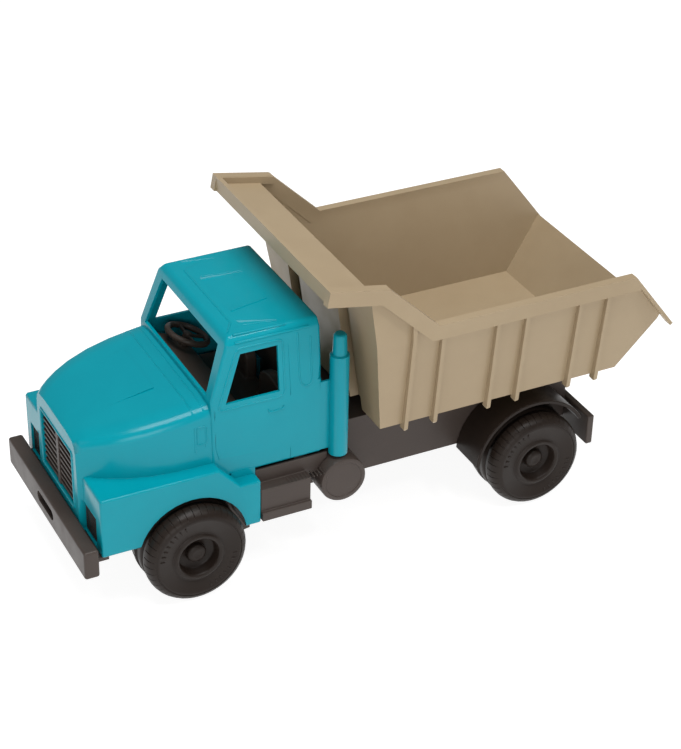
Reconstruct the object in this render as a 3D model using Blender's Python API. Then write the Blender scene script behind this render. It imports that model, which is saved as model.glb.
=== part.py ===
"""A toy dump truck: moulded cab and bonnet, chassis, rolling wheels and a bed that tips on a rear hinge.

Metres, +X forwards, +Y to the truck's left, +Z up, origin on the ground under the middle of the truck.
"""

import math

import bmesh
import bpy
from mathutils import Matrix, Vector

# ---- driving dimensions ----
WHEELBASE = 0.318
FRONT_OVERHANG = 0.0946  # front axle to the bumper's face
TAIL_OVERHANG = 0.1174  # rear axle to the tip of the bed's tail
BODY_HEIGHT = 0.270  # ground to the highest edge of the bed's cab shield
GAP = 0.0003  # clearance between neighbouring pieces
WALL = 0.0026  # wall of every moulded shell

TYRE_RADIUS = 0.0438
AXLE_Z = TYRE_RADIUS  # heights of the body are measured from the axles
DECK_Z = AXLE_Z + 0.0622  # top of the chassis
TYRE_WIDTH = 0.0452
TRACK_OUTER = 0.1002  # middle of the truck to a wheel's outer face
RIM_RADIUS = 0.0171
RIM_DEPTH = 0.010
HUB_RADIUS = 0.0084
AXLE_RADIUS = 0.0025

CAB_SETBACK = 0.1204  # front axle to the back of the cab
CAB_LENGTH = 0.0980
CAB_HALF_WIDTH = 0.076
CAB_FLOOR_Z = DECK_Z - 0.008
ROOF_Z = BODY_HEIGHT - 0.0478  # the shield clears the roof
ROOF_HALF_WIDTH = CAB_HALF_WIDTH - 0.007
BELT_Z = DECK_Z + 0.5164 * (ROOF_Z - DECK_Z)  # lower edge of the side windows
SCREEN_RAKE = 0.016  # how far the windscreen leans back
SCREEN_LOW_HALF = 0.0635
SCREEN_HIGH_HALF = 0.0575
REAR_WINDOW_HALF = 0.045
REAR_WINDOW_LOW_Z = BELT_Z + 0.006
REAR_WINDOW_HIGH_Z = ROOF_Z - 0.0202
COWL_Z = BELT_Z + 0.004  # foot of the windscreen
FENDER_TOP_Z = AXLE_Z + 0.0702
HOOD_NOSE_Z = FENDER_TOP_Z + 0.5304 * (COWL_Z - FENDER_TOP_Z)
HOOD_NOSE_HALF = 0.0446
HOOD_BOTTOM_Z = AXLE_Z + 0.0157
HOOD_BACK_DROP = 0.0035  # back of the bonnet below the foot of the windscreen
FENDER_HALF_WIDTH = CAB_HALF_WIDTH + 0.012
FENDER_STEP_Z = AXLE_Z + 0.0501
FENDER_REAR_Z = AXLE_Z + 0.0084
ARCH_RADIUS = TYRE_RADIUS + 0.0037
ARCH_RISE = 0.002  # arch centre above the axle

GRILLE_HALF_WIDTH = 0.0355
GRILLE_LOW_Z = AXLE_Z + 0.0342
GRILLE_HIGH_Z = HOOD_NOSE_Z - 0.0147
GRILLE_SLATS = 8
LAMP_INNER_Y = 0.0475
LAMP_OUTER_Y = FENDER_HALF_WIDTH - 0.011
LAMP_LOW_Z = AXLE_Z + 0.0192
LAMP_HIGH_Z = AXLE_Z + 0.0472

STACK_RADIUS = 0.0081
STACK_TIP_RADIUS = 0.0056
STACK_Y = CAB_HALF_WIDTH + 0.0011
STACK_BACK = 0.0142  # cab's back to the stack's axis
STACK_LOW_Z = AXLE_Z + 0.0508
STACK_NECK_Z = ROOF_Z - 0.0322
STACK_TOP_Z = ROOF_Z - 0.0132
STACK_WEB_Z = BELT_Z - 0.001

RAIL_HALF_WIDTH = TRACK_OUTER - TYRE_WIDTH - 0.0015  # just inside the wheels
RAIL_LOW_Z = AXLE_Z + 0.0072
NOSE_HALF_WIDTH = 0.038
RAIL_REACH = 0.085  # half length of the rail behind the bumper
BEAM_HALF_LENGTH = 0.013
BEAM_LOW_Z = AXLE_Z - 0.0078
KEEPER_THICKNESS = 0.003
SCREW_RADIUS = 0.0015
SCREW_HEAD_RADIUS = 0.0033
SCREW_HEAD_HEIGHT = 0.0024

BUMPER_DEPTH = 0.0128
BUMPER_HALF_WIDTH = 0.0916
BUMPER_LOW_Z = AXLE_Z + 0.0015
BUMPER_HIGH_Z = AXLE_Z + 0.0275
SLOT_HALF_WIDTH = 0.019
SLOT_LOW_Z = AXLE_Z + 0.0107
SLOT_HIGH_Z = AXLE_Z + 0.0202

STEP_LENGTH = 0.045
STEP_Y = CAB_HALF_WIDTH + 0.011
STEP_TOP_Z = AXLE_Z + 0.0392
STEP_LIP_Y = CAB_HALF_WIDTH + 0.014
STEP_LIP_Z = AXLE_Z + 0.0180
STEP_LOW_Z = AXLE_Z + 0.0102
SKIRT_Y = CAB_HALF_WIDTH
SKIRT_TOP_Z = AXLE_Z + 0.0522
TANK_RADIUS = 0.0206
TANK_Z = AXLE_Z + 0.0280
TANK_BACK = 0.0152  # cab's back to the tank's axis
TANK_Y = CAB_HALF_WIDTH + 0.0115

LINER_THICKNESS = 0.0025
LINER_MARGIN = 0.0008  # arch edge to the liner behind it

GUARD_RADIUS = TYRE_RADIUS + 0.0122
GUARD_THICKNESS = 0.0032
GUARD_Y = 0.0905
TAILBAR_HALF_WIDTH = 0.0916
TAILBAR_LOW_Z = AXLE_Z - 0.0018
TAILBAR_HIGH_Z = AXLE_Z + 0.0272
TAILBAR_THICKNESS = 0.0065
TAILBAR_BACK = 0.0610  # rear axle to the tail bar's rear face

BED_GAP = 0.045  # cab's back to the foot of the bed's front wall
BED_REAR = 0.0762  # rear axle to the end of the bed's floor
BED_LOW_Z = DECK_Z + 0.011
BED_RIM_Z = BODY_HEIGHT - 0.0536
BED_RIM_HALF = 0.1123
BED_LOW_HALF = BED_RIM_HALF - 0.0203
BED_WALL_TOP_HALF = BED_RIM_HALF - 0.0048
BED_TAIL_Z = DECK_Z + 0.5072 * (BED_RIM_Z - DECK_Z)
BED_WALL_LEAN = 0.0208  # how far the front wall leans forwards by its top
RIM_LIP = 0.0133
TAIL_FLANGE = 0.003  # thickness of the rim down the sloping tail
SHIELD_LENGTH = 0.0522
SHIELD_DROP = 0.0098  # rear of the shield below its front
SHIELD_SLOPE = 0.0461  # run of the sloping rim from the shield down to the side
SHIELD_POCKET = 0.006
RIB_THICKNESS = 0.0036
RIB_PROUD = 0.0056
RIB_DROP = 0.0060
RIB_LEAN = 0.004  # foot of a rib behind its head
RIB_PAIRS = 3
RIB_SPACING = 0.0275
CHANNEL_INNER_Y = 0.038
CHANNEL_OUTER_Y = 0.060
CHANNEL_DEPTH = 0.008

HINGE_BACK = 0.0424  # rear axle to the hinge axis
HINGE_Z = DECK_Z - 0.008
HINGE_RADIUS = 0.003
LUG_RADIUS = 0.008
LUG_INNER_Y = 0.030
LUG_WIDTH = 0.006

# ---- stations along the truck ----
LENGTH = WHEELBASE + FRONT_OVERHANG + TAIL_OVERHANG
NOSE_X = LENGTH / 2
TAIL_X = -LENGTH / 2
FRONT_AXLE_X = NOSE_X - FRONT_OVERHANG
REAR_AXLE_X = FRONT_AXLE_X - WHEELBASE
BUMPER_BACK_X = NOSE_X - BUMPER_DEPTH
ASIDE = 0.14  # a cutter's reach to either side, clear of the truck
HOOD_FRONT_X = BUMPER_BACK_X - GAP
FENDER_FRONT_X = HOOD_FRONT_X - 0.0034
CAB_BACK_X = FRONT_AXLE_X - CAB_SETBACK
COWL_X = CAB_BACK_X + CAB_LENGTH
STACK_X = CAB_BACK_X - STACK_BACK
TANK_X = CAB_BACK_X - TANK_BACK
FENDER_REAR_X = FRONT_AXLE_X - ARCH_RADIUS - 0.0126
BED_FRONT_X = CAB_BACK_X - BED_GAP
BED_REAR_X = REAR_AXLE_X - BED_REAR
HINGE_X = REAR_AXLE_X - HINGE_BACK
BED_CREST_Z = BODY_HEIGHT - SHIELD_DROP - 0.004  # top of the bed's front wall, inside the shield
BED_LEAN = BED_WALL_LEAN / (BED_CREST_Z - BED_LOW_Z)
WHEEL_INNER_Y = TRACK_OUTER - TYRE_WIDTH
ROUND = 40


# ---- mesh tools ----
def clear_scene():
    for obj in list(bpy.data.objects):
        bpy.data.objects.remove(obj, do_unlink=True)


def material(name, colour, roughness, metallic=0.0):
    found = bpy.data.materials.new(name)
    found.use_nodes = True
    shader = found.node_tree.nodes["Principled BSDF"]
    shader.inputs["Base Color"].default_value = (*colour, 1.0)
    shader.inputs["Roughness"].default_value = roughness
    shader.inputs["Metallic"].default_value = metallic
    found.diffuse_color = (*colour, 1.0)
    return found


def make_object(name, bm):
    """The bmesh as a linked object, with its faces turned outwards."""
    bmesh.ops.remove_doubles(bm, verts=bm.verts, dist=1e-7)
    bmesh.ops.recalc_face_normals(bm, faces=bm.faces)
    mesh = bpy.data.meshes.new(name)
    bm.to_mesh(mesh)
    bm.free()
    obj = bpy.data.objects.new(name, mesh)
    bpy.context.scene.collection.objects.link(obj)
    return obj


def bake(obj):
    """Apply the object's modifiers to its mesh."""
    bpy.context.view_layer.update()
    graph = bpy.context.evaluated_depsgraph_get()
    mesh = bpy.data.meshes.new_from_object(obj.evaluated_get(graph))
    obj.modifiers.clear()
    obj.data = mesh
    return obj


def combine(obj, tool, operation):
    """One exact Boolean, applied at once; the tool is used up."""
    modifier = obj.modifiers.new(operation, "BOOLEAN")
    modifier.operation = operation
    modifier.solver = "EXACT"
    modifier.object = tool
    bake(obj)
    bpy.data.objects.remove(tool, do_unlink=True)
    return obj


def join(obj, *tools):
    for tool in tools:
        combine(obj, tool, "UNION")
    return obj


def cut(obj, *tools):
    for tool in tools:
        combine(obj, tool, "DIFFERENCE")
    return obj


def bevel(obj, width, segments=2, angle=30):
    modifier = obj.modifiers.new("bevel", "BEVEL")
    modifier.width = width
    modifier.segments = segments
    modifier.limit_method = "ANGLE"
    modifier.angle_limit = math.radians(angle)
    return bake(obj)


def loft(name, rings):
    """Rings of equal point counts joined in order, with both ends capped."""
    bm = bmesh.new()
    loops = [[bm.verts.new(p) for p in ring] for ring in rings]
    count = len(loops[0])
    for low, high in zip(loops, loops[1:]):
        for i in range(count):
            j = (i + 1) % count
            bm.faces.new((low[i], low[j], high[j], high[i]))
    bm.faces.new(loops[0])
    bm.faces.new(list(reversed(loops[-1])))
    if len(rings) > 2:
        bmesh.ops.triangulate(bm, faces=bm.faces)
    return make_object(name, bm)


def prism(name, outline, axis, low, high):
    """A closed outline drawn across one axis and drawn out along it."""
    place = {
        "X": lambda a, b, t: (t, a, b),
        "Y": lambda a, b, t: (a, t, b),
        "Z": lambda a, b, t: (a, b, t),
    }[axis]
    return loft(name, [[place(a, b, t) for a, b in outline] for t in (low, high)])


def box(name, x, y, z):
    outline = [(x[0], z[0]), (x[1], z[0]), (x[1], z[1]), (x[0], z[1])]
    return prism(name, outline, "Y", y[0], y[1])


def lathe(name, profile, centre, axis="Y", segments=ROUND):
    """A profile of (along, radius) turned about an axis through the centre; radius 0 closes a pole."""
    bm = bmesh.new()
    points = [bm.verts.new((radius, 0.0, along)) for along, radius in profile]
    edges = [bm.edges.new(pair) for pair in zip(points, points[1:] + points[:1])]
    bmesh.ops.spin(
        bm, geom=points + edges, axis=(0, 0, 1), cent=(0, 0, 0), angle=math.tau, steps=segments
    )
    bmesh.ops.remove_doubles(bm, verts=bm.verts, dist=1e-6)
    loose = [edge for edge in bm.edges if not edge.link_faces]
    bmesh.ops.delete(bm, geom=loose, context="EDGES")
    turn = {
        "X": Matrix.Rotation(math.radians(90), 4, "Y"),
        "Y": Matrix.Rotation(math.radians(-90), 4, "X"),
        "Z": Matrix.Identity(4),
    }[axis]
    bmesh.ops.transform(bm, matrix=Matrix.Translation(centre) @ turn, verts=bm.verts)
    return make_object(name, bm)


def rod(name, centre, radius, low, high, axis="Y", segments=24):
    """A plain cylinder between two stations measured along its axis from the centre."""
    return lathe(name, [(low, 0), (low, radius), (high, radius), (high, 0)], centre, axis, segments)


def crossing(a, b, c, d):
    """Where the line through a and b meets the line through c and d."""
    along = b - a
    other = d - c
    share = ((c.x - a.x) * other.y - (c.y - a.y) * other.x) / (along.x * other.y - along.y * other.x)
    return a + along * share


def shifted(points, distance):
    """Each segment of an open line moved to its right by a distance, with mitred corners."""
    points = [Vector(p) for p in points]
    moved = []
    for a, b in zip(points, points[1:]):
        along = (b - a).normalized()
        off = Vector((along.y, -along.x)) * distance
        moved.append((a + off, b + off))
    middle = [crossing(*one, *two) for one, two in zip(moved, moved[1:])]
    return [moved[0][0], *middle, moved[-1][1]]


def inset(outline, distance):
    """A closed anticlockwise outline moved inwards by a distance."""
    closed = [outline[-1], *outline, outline[0]]
    return shifted(closed, -distance)[1:-1]


def finish(obj, surface, origin=(0, 0, 0)):
    """Give the piece its material, smooth rounds with crisp edges, and its origin."""
    obj.data.transform(Matrix.Translation(-Vector(origin)))
    obj.location = origin
    obj.data.materials.clear()
    obj.data.materials.append(surface)
    obj.data.shade_smooth()
    obj.data.set_sharp_from_angle(angle=math.radians(32))
    return obj


def mirrored(obj, name, surface, origin=(0, 0, 0)):
    """The other side's copy of a piece, mirrored across the truck's middle."""
    bm = bmesh.new()
    bm.from_mesh(obj.data)
    place = Matrix.Translation(obj.location)
    flip = Matrix.Diagonal((1, -1, 1, 1))
    bmesh.ops.transform(bm, matrix=flip @ place, verts=bm.verts)
    return finish(make_object(name, bm), surface, origin)


# ---- cab moulding ----
def cab_side_outline():
    return [
        (CAB_BACK_X, CAB_FLOOR_Z),
        (COWL_X, CAB_FLOOR_Z),
        (COWL_X, COWL_Z),
        (COWL_X - SCREEN_RAKE, ROOF_Z - 0.005),
        (COWL_X - SCREEN_RAKE - 0.004, ROOF_Z),
        (CAB_BACK_X, ROOF_Z),
    ]


def cab_section():
    shoulder = ROOF_HALF_WIDTH + 0.001
    right = [
        (CAB_HALF_WIDTH, CAB_FLOOR_Z),
        (CAB_HALF_WIDTH, BELT_Z - 0.016),
        (CAB_HALF_WIDTH - 0.0012, BELT_Z),
        (shoulder, ROOF_Z - 0.007),
        (shoulder - 0.005, ROOF_Z),
    ]
    return right + [(-y, z) for y, z in reversed(right)]


def lowered(outline, low, high):
    """Outline points at the low level dropped clear of the piece, to leave its underside open."""
    return [(a, low - 0.02) if b < high else (a, b) for a, b in outline]


def cab_block(name, wall):
    side = cab_side_outline()
    section = cab_section()
    if wall:
        side = lowered(inset(side, wall), CAB_FLOOR_Z, CAB_FLOOR_Z + 2 * wall)
        section = lowered(inset(section, wall), CAB_FLOOR_Z, CAB_FLOOR_Z + 2 * wall)
    block = prism(name, side, "Y", -ASIDE, ASIDE)
    combine(block, prism("section", section, "X", CAB_BACK_X - 0.05, NOSE_X), "INTERSECT")
    return block if wall else bevel(block, 0.0025)


def hood_shape(share):
    """The bonnet's half width and height at a share of the way back from its nose."""
    back_half = CAB_HALF_WIDTH - 0.002
    half = back_half + (HOOD_NOSE_HALF - back_half) * max(1 - share, 0) ** 3
    back_z = COWL_Z - HOOD_BACK_DROP
    return half, HOOD_NOSE_Z + (back_z - HOOD_NOSE_Z) * share**0.61


def hood_ring(share, wall):
    """The bonnet's outline across the truck: upright sides, rounded shoulders and a crowned top."""
    x = HOOD_FRONT_X - wall + (COWL_X - HOOD_FRONT_X) * share
    half, top = hood_shape(share)
    half -= wall
    top -= wall
    low = HOOD_BOTTOM_Z - (0.02 if wall else 0.0)
    right = [
        (half + 0.0012, low),
        (half + 0.0012, FENDER_TOP_Z - 0.004),
        (half, top - 0.010),
        (half - 0.0018, top - 0.0045),
        (half - 0.0065, top - 0.0008),
        (half - 0.020, top + 0.0008),
    ]
    return [(x, y, z) for y, z in right + [(-y, z) for y, z in reversed(right)]]


def hood_block(name, wall):
    shares = (1.10, 0.90, 0.70, 0.50, 0.33, 0.20, 0.11, 0.045, 0.0)
    return loft(name, [hood_ring(share, wall) for share in shares])


def fender_outline():
    shelf = COWL_X - 0.0195
    rear = FENDER_REAR_X
    return [
        (rear, FENDER_REAR_Z),
        (FRONT_AXLE_X, FENDER_REAR_Z),
        (FRONT_AXLE_X, HOOD_BOTTOM_Z),
        (FENDER_FRONT_X, HOOD_BOTTOM_Z),
        (FENDER_FRONT_X, FENDER_TOP_Z - 0.002),
        (FENDER_FRONT_X - 0.002, FENDER_TOP_Z),
        (COWL_X - 0.0011, FENDER_TOP_Z),
        (shelf, FENDER_STEP_Z),
        (rear, FENDER_STEP_Z),
    ]


def fender_block(name, wall):
    outline = fender_outline()
    if wall:
        outline = lowered(inset(outline, wall), FENDER_REAR_Z, HOOD_BOTTOM_Z + 2 * wall)
    half = FENDER_HALF_WIDTH - wall
    block = prism(name, outline, "Y", -half, half)
    return block if wall else bevel(block, 0.0018, 2, 50)


def windscreen_cutter():
    low, high = COWL_Z + 0.001, ROOF_Z - 0.0098
    wide, narrow = SCREEN_LOW_HALF, SCREEN_HIGH_HALF
    outline = [(wide, low), (narrow, high), (-narrow, high), (-wide, low)]
    return prism("windscreen", outline, "X", COWL_X - 0.035, COWL_X + 0.02)


def side_window_cutter():
    front = COWL_X - 0.013
    back = CAB_BACK_X + 0.038
    top = ROOF_Z - 0.0152
    outline = [(back, BELT_Z), (front, BELT_Z), (front - 0.0145, top), (back, top)]
    return prism("windows", outline, "Y", -ASIDE, ASIDE)


def rear_window_cutter():
    half = REAR_WINDOW_HALF
    low, high = REAR_WINDOW_LOW_Z, REAR_WINDOW_HIGH_Z
    outline = [(-half, low), (half, low), (half, high), (-half, high)]
    return prism("rear_window", outline, "X", CAB_BACK_X - 0.02, CAB_BACK_X + 0.02)


def corner_cutter():
    """The upper rear corner of the cab, planed off between belt and roof."""
    outline = [
        (CAB_BACK_X - 0.004, CAB_HALF_WIDTH - 0.008),
        (CAB_BACK_X + 0.011, CAB_HALF_WIDTH + 0.004),
        (CAB_BACK_X - 0.004, CAB_HALF_WIDTH + 0.004),
    ]
    return prism("corner", outline, "Z", BELT_Z + 0.002, ROOF_Z - 0.007)


def stack_pieces():
    """The exhaust stack on the left and the web that moulds it to the cab."""
    profile = [
        (STACK_LOW_Z, 0),
        (STACK_LOW_Z, STACK_RADIUS),
        (STACK_NECK_Z - 0.001, STACK_RADIUS),
        (STACK_NECK_Z, STACK_TIP_RADIUS + 0.0006),
        (STACK_TOP_Z - 0.002, STACK_TIP_RADIUS),
        (STACK_TOP_Z, STACK_TIP_RADIUS - 0.002),
        (STACK_TOP_Z, 0),
    ]
    stack = lathe("stack", profile, (STACK_X, STACK_Y, 0), "Z", 24)
    width = (CAB_HALF_WIDTH - WALL - GAP, CAB_HALF_WIDTH - 2 * GAP)
    web = box("web", (STACK_X, CAB_BACK_X + 0.002), width, (STACK_LOW_Z + 0.005, STACK_WEB_Z))
    return stack, web


FRONT_POST = (FRONT_AXLE_X + 0.048, 0.026)
REAR_POST = (CAB_BACK_X + 0.0105, 0.040)
POST_RADIUS = 0.0045
PILOT_RADIUS = SCREW_RADIUS + GAP
NOSE_TOP_Z = HOOD_BOTTOM_Z - 2 * GAP
NOSE_LOW_Z = NOSE_TOP_Z - 0.0038
DECK_THICKNESS = 0.003
SCREW_REACH = 0.014


def screw_posts(side):
    """Posts inside the moulding that take the screws from below."""
    x, y = FRONT_POST
    top = hood_shape((HOOD_FRONT_X - x) / (HOOD_FRONT_X - COWL_X))[1] - WALL / 2
    front = rod("post", (x, side * y, 0), POST_RADIUS, NOSE_TOP_Z + GAP, top, "Z", 16)
    x, y = REAR_POST
    low, high = sorted((side * (y - 0.006), side * (y + 0.006)))
    rear = box("boss", (CAB_BACK_X + 0.001, x + 0.006), (low, high), (DECK_Z + 2 * GAP, DECK_Z + 0.022))
    return front, rear


def screw_holes(side):
    x, y = FRONT_POST
    front = rod("hole", (x, side * y, 0), PILOT_RADIUS, NOSE_TOP_Z - 0.004, NOSE_TOP_Z + SCREW_REACH, "Z", 12)
    x, y = REAR_POST
    rear = rod("hole", (x, side * y, 0), PILOT_RADIUS, DECK_Z - 0.004, DECK_Z + SCREW_REACH, "Z", 12)
    return front, rear


def door_foot(side):
    """The strip of door below the cab's floor that stands on the wing's low shelf."""
    y = sorted((side * (CAB_HALF_WIDTH - WALL), side * CAB_HALF_WIDTH))
    return box("door_foot", (FENDER_REAR_X, COWL_X - 0.0165), y, (FENDER_STEP_Z - 0.002, CAB_FLOOR_Z + 0.002))


def cab_shell(paint):
    shell = join(cab_block("cab_shell", 0.0), fender_block("fenders", 0.0), hood_block("hood", 0.0))
    hollow = join(cab_block("hollow", WALL), fender_block("inner", WALL), hood_block("inner", WALL))
    cut(shell, hollow)
    cut(shell, windscreen_cutter(), side_window_cutter(), rear_window_cutter())
    arch = (FRONT_AXLE_X, 0, TYRE_RADIUS + ARCH_RISE)
    cut(shell, rod("arch", arch, ARCH_RADIUS, -ASIDE, ASIDE, "Y", ROUND))
    opening = (-GRILLE_HALF_WIDTH, GRILLE_HALF_WIDTH)
    cut(shell, box("opening", (HOOD_FRONT_X - 0.01, NOSE_X), opening, (GRILLE_LOW_Z, GRILLE_HIGH_Z)))
    half = RAIL_HALF_WIDTH + 2 * GAP
    cut(shell, box("tunnel", (CAB_BACK_X - 0.01, COWL_X + 0.006), (-half, half), (0.03, DECK_Z + GAP)))
    for side in (1, -1):
        corner = corner_cutter()
        lamp = box(
            "lamp",
            (FENDER_FRONT_X - 0.004, NOSE_X),
            (LAMP_INNER_Y, LAMP_OUTER_Y),
            (LAMP_LOW_Z, LAMP_HIGH_Z),
        )
        for cutter in (corner, lamp):
            cutter.data.transform(Matrix.Diagonal((1, side, 1, 1)))
            if side < 0:
                cutter.data.flip_normals()
            cut(shell, cutter)
        join(shell, door_foot(side), *screw_posts(side))
        cut(shell, *screw_holes(side))
    return finish(join(shell, *stack_pieces()), paint)


def grille(plastic):
    back = HOOD_FRONT_X - WALL - GAP
    margin = 0.003
    half = GRILLE_HALF_WIDTH + margin
    height = (GRILLE_LOW_Z - margin, GRILLE_HIGH_Z + margin)
    plate = box("grille", (back - 0.0022, back), (-half, half), height)
    pitch = (GRILLE_HIGH_Z - GRILLE_LOW_Z) / GRILLE_SLATS
    inner = GRILLE_HALF_WIDTH - GAP
    face = HOOD_FRONT_X - 0.0008
    for i in range(GRILLE_SLATS):
        middle = GRILLE_LOW_Z + (i + 0.5) * pitch
        join(plate, box("slat", (back - 0.001, face), (-inner, inner), (middle - 0.0011, middle + 0.0011)))
    low, high = GRILLE_LOW_Z + GAP, GRILLE_HIGH_Z - GAP
    join(plate, box("post", (back - 0.001, face + 0.0003), (-0.003, 0.003), (low, high)))
    return finish(plate, plastic)


def headlight(plastic):
    back = FENDER_FRONT_X - WALL - GAP
    margin = 0.0015
    lens_x = FENDER_FRONT_X - 0.0012
    y = (LAMP_INNER_Y + LAMP_OUTER_Y) / 2
    z = (LAMP_LOW_Z + LAMP_HIGH_Z) / 2
    plate = box(
        "headlight_left",
        (back - 0.002, back),
        (LAMP_INNER_Y - margin + 0.0005, LAMP_OUTER_Y + margin),
        (LAMP_LOW_Z - margin, LAMP_HIGH_Z + margin),
    )
    block = box(
        "block",
        (back - 0.001, lens_x - 0.0012),
        (LAMP_INNER_Y + GAP, LAMP_OUTER_Y - GAP),
        (LAMP_LOW_Z + GAP, LAMP_HIGH_Z - GAP),
    )
    join(plate, block)
    join(plate, rod("lens", (back, y, z), 0.0115, -0.001, lens_x - back, "X", 24))
    return finish(plate, plastic)


# ---- cab interior ----
def seat_bench(plastic):
    low = DECK_Z + GAP
    half = CAB_HALF_WIDTH - 0.010
    back_x = CAB_BACK_X + 0.018
    bench = box("seat_bench", (back_x, back_x + 0.042), (-half, half), (low, low + 0.019))
    for side in (1, -1):
        y = side * 0.034
        outline = [(y - 0.022, low + 0.015), (y + 0.022, low + 0.015)]
        for i in range(9):
            turn = math.pi * i / 8
            outline.append((y + 0.022 * math.cos(turn), low + 0.036 + 0.012 * math.sin(turn)))
        join(bench, prism("backrest", outline, "X", back_x, back_x + 0.010))
    return finish(bench, plastic)


DASH_DEPTH = 0.0305
DASH_FRONT_X = COWL_X - WALL - 0.004
DASH_TOP_Z = COWL_Z - 0.012
DASH_SLOPE = math.radians(22)
STEERING_SEAT_X = DASH_FRONT_X - 0.0208  # where the steering column stands on the dashboard
STEERING_SEAT_Y = -0.046
STEERING_HEIGHT = 0.010
STEERING_RADIUS = 0.0205
STEERING_TUBE = 0.0028


def dash_height(x):
    """Height of the dashboard's sloping top above a station."""
    return DASH_TOP_Z - (DASH_FRONT_X - 0.004 - x) * math.tan(DASH_SLOPE)


def dashboard(plastic):
    low = DECK_Z + GAP
    half = CAB_HALF_WIDTH - 0.011
    rear = DASH_FRONT_X - DASH_DEPTH
    outline = [
        (rear, low),
        (DASH_FRONT_X, low),
        (DASH_FRONT_X, DASH_TOP_Z - 0.003),
        (DASH_FRONT_X - 0.004, DASH_TOP_Z),
        (rear + 0.003, dash_height(rear + 0.003)),
        (rear, dash_height(rear) - 0.004),
    ]
    return finish(prism("dashboard", outline, "Y", -half, half), plastic)


def steering_wheel(plastic):
    """A ring with two spokes on a short column that stands square on the dashboard's slope."""
    reach = STEERING_RADIUS - STEERING_TUBE
    profile = []
    for i in range(6):
        turn = math.tau * i / 6
        profile.append((STEERING_TUBE * math.sin(turn), reach + STEERING_TUBE * math.cos(turn)))
    wheel = lathe("steering_wheel", profile, (0, 0, 0), "Z", 24)
    spoke = box("spoke", (-0.003, 0.003), (-reach, reach), (-0.0014, 0.0014))
    column = rod("column", (0, 0, 0), 0.004, GAP - STEERING_HEIGHT, 0.0024, "Z", 16)
    join(wheel, spoke, column)
    lean = Matrix.Rotation(-DASH_SLOPE, 4, "Y")
    foot = Vector((STEERING_SEAT_X, STEERING_SEAT_Y, dash_height(STEERING_SEAT_X)))
    wheel.data.transform(Matrix.Translation(foot) @ lean @ Matrix.Translation((0, 0, STEERING_HEIGHT)))
    return finish(wheel, plastic)


# ---- chassis ----
def axle_beam(name, x):
    beam = (x - BEAM_HALF_LENGTH, x + BEAM_HALF_LENGTH)
    return box(name, beam, (-RAIL_HALF_WIDTH, RAIL_HALF_WIDTH), (BEAM_LOW_Z, NOSE_TOP_Z))


def axle_groove(x):
    half = AXLE_RADIUS + GAP
    outline = [(x - half, BEAM_LOW_Z - 0.01), (x + half, BEAM_LOW_Z - 0.01)]
    for i in range(9):
        turn = math.pi * i / 8
        outline.append((x + half * math.cos(turn), TYRE_RADIUS + half * math.sin(turn)))
    return prism("groove", outline, "Y", -ASIDE, ASIDE)


KEEPER_SCREW_X = 0.0085
KEEPER_SCREW_Y = 0.028


def chassis_frame(plastic):
    rear = HINGE_X - 0.0115
    deck_rear = HINGE_X + 0.018
    deck_front = COWL_X + 0.002
    nose = BUMPER_BACK_X - GAP
    half = RAIL_HALF_WIDTH
    inner = half - WALL
    frame = box("chassis_frame", (rear, deck_front), (-half, half), (RAIL_LOW_Z, DECK_Z))
    inside = (rear + WALL, deck_front - WALL)
    cut(frame, box("inside", inside, (-inner, inner), (RAIL_LOW_Z - 0.01, DECK_Z - DECK_THICKNESS)))
    cut(frame, box("hatch", (rear - 0.01, deck_rear), (-inner, inner), (NOSE_TOP_Z + 0.006, DECK_Z + 0.01)))
    nose_length = (deck_front - 0.004, nose)
    nose_plate = box("nose", nose_length, (-NOSE_HALF_WIDTH, NOSE_HALF_WIDTH), (NOSE_LOW_Z, NOSE_TOP_Z))
    bumper_rail = box("rail", (nose - 0.010, nose), (-RAIL_REACH, RAIL_REACH), (NOSE_LOW_Z, NOSE_TOP_Z))
    join(frame, nose_plate, bumper_rail)
    for side in (1, -1):
        y = sorted((side * NOSE_HALF_WIDTH, side * (NOSE_HALF_WIDTH - WALL)))
        join(frame, box("nose_side", nose_length, y, (BUMPER_LOW_Z + 0.001, NOSE_TOP_Z - 0.001)))
    for x in (FRONT_AXLE_X, REAR_AXLE_X):
        join(frame, axle_beam("beam", x))
        cut(frame, axle_groove(x))
        for side in (1, -1):
            place = (x + side * KEEPER_SCREW_X, side * KEEPER_SCREW_Y, 0)
            cut(frame, rod("pilot", place, PILOT_RADIUS, BEAM_LOW_Z - 0.01, BEAM_LOW_Z + 0.010, "Z", 12))
    for side in (1, -1):
        x, y = FRONT_POST
        cut(frame, rod("hole", (x, side * y, 0), PILOT_RADIUS, NOSE_LOW_Z - 0.01, NOSE_TOP_Z + 0.01, "Z", 12))
        x, y = REAR_POST
        cut(frame, rod("hole", (x, side * y, 0), PILOT_RADIUS, DECK_Z - 0.02, DECK_Z + 0.01, "Z", 12))
    pin_hole = HINGE_RADIUS + GAP
    cut(frame, rod("hinge_hole", (HINGE_X, 0, HINGE_Z), pin_hole, -ASIDE, ASIDE, "Y", 24))
    return finish(frame, plastic)


def axle_keeper(name, x, plastic):
    """The plate screwed under an axle beam that holds the axle in its groove."""
    high = BEAM_LOW_Z - GAP
    plate = box(
        name,
        (x - BEAM_HALF_LENGTH, x + BEAM_HALF_LENGTH),
        (-RAIL_HALF_WIDTH + 0.003, RAIL_HALF_WIDTH - 0.003),
        (high - KEEPER_THICKNESS, high),
    )
    bevel(plate, 0.0007, 2)
    for side in (1, -1):
        place = (x + side * KEEPER_SCREW_X, side * KEEPER_SCREW_Y, 0)
        cut(plate, rod("hole", place, PILOT_RADIUS, high - 0.01, high + 0.01, "Z", 12))
    return finish(plate, plastic)


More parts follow.
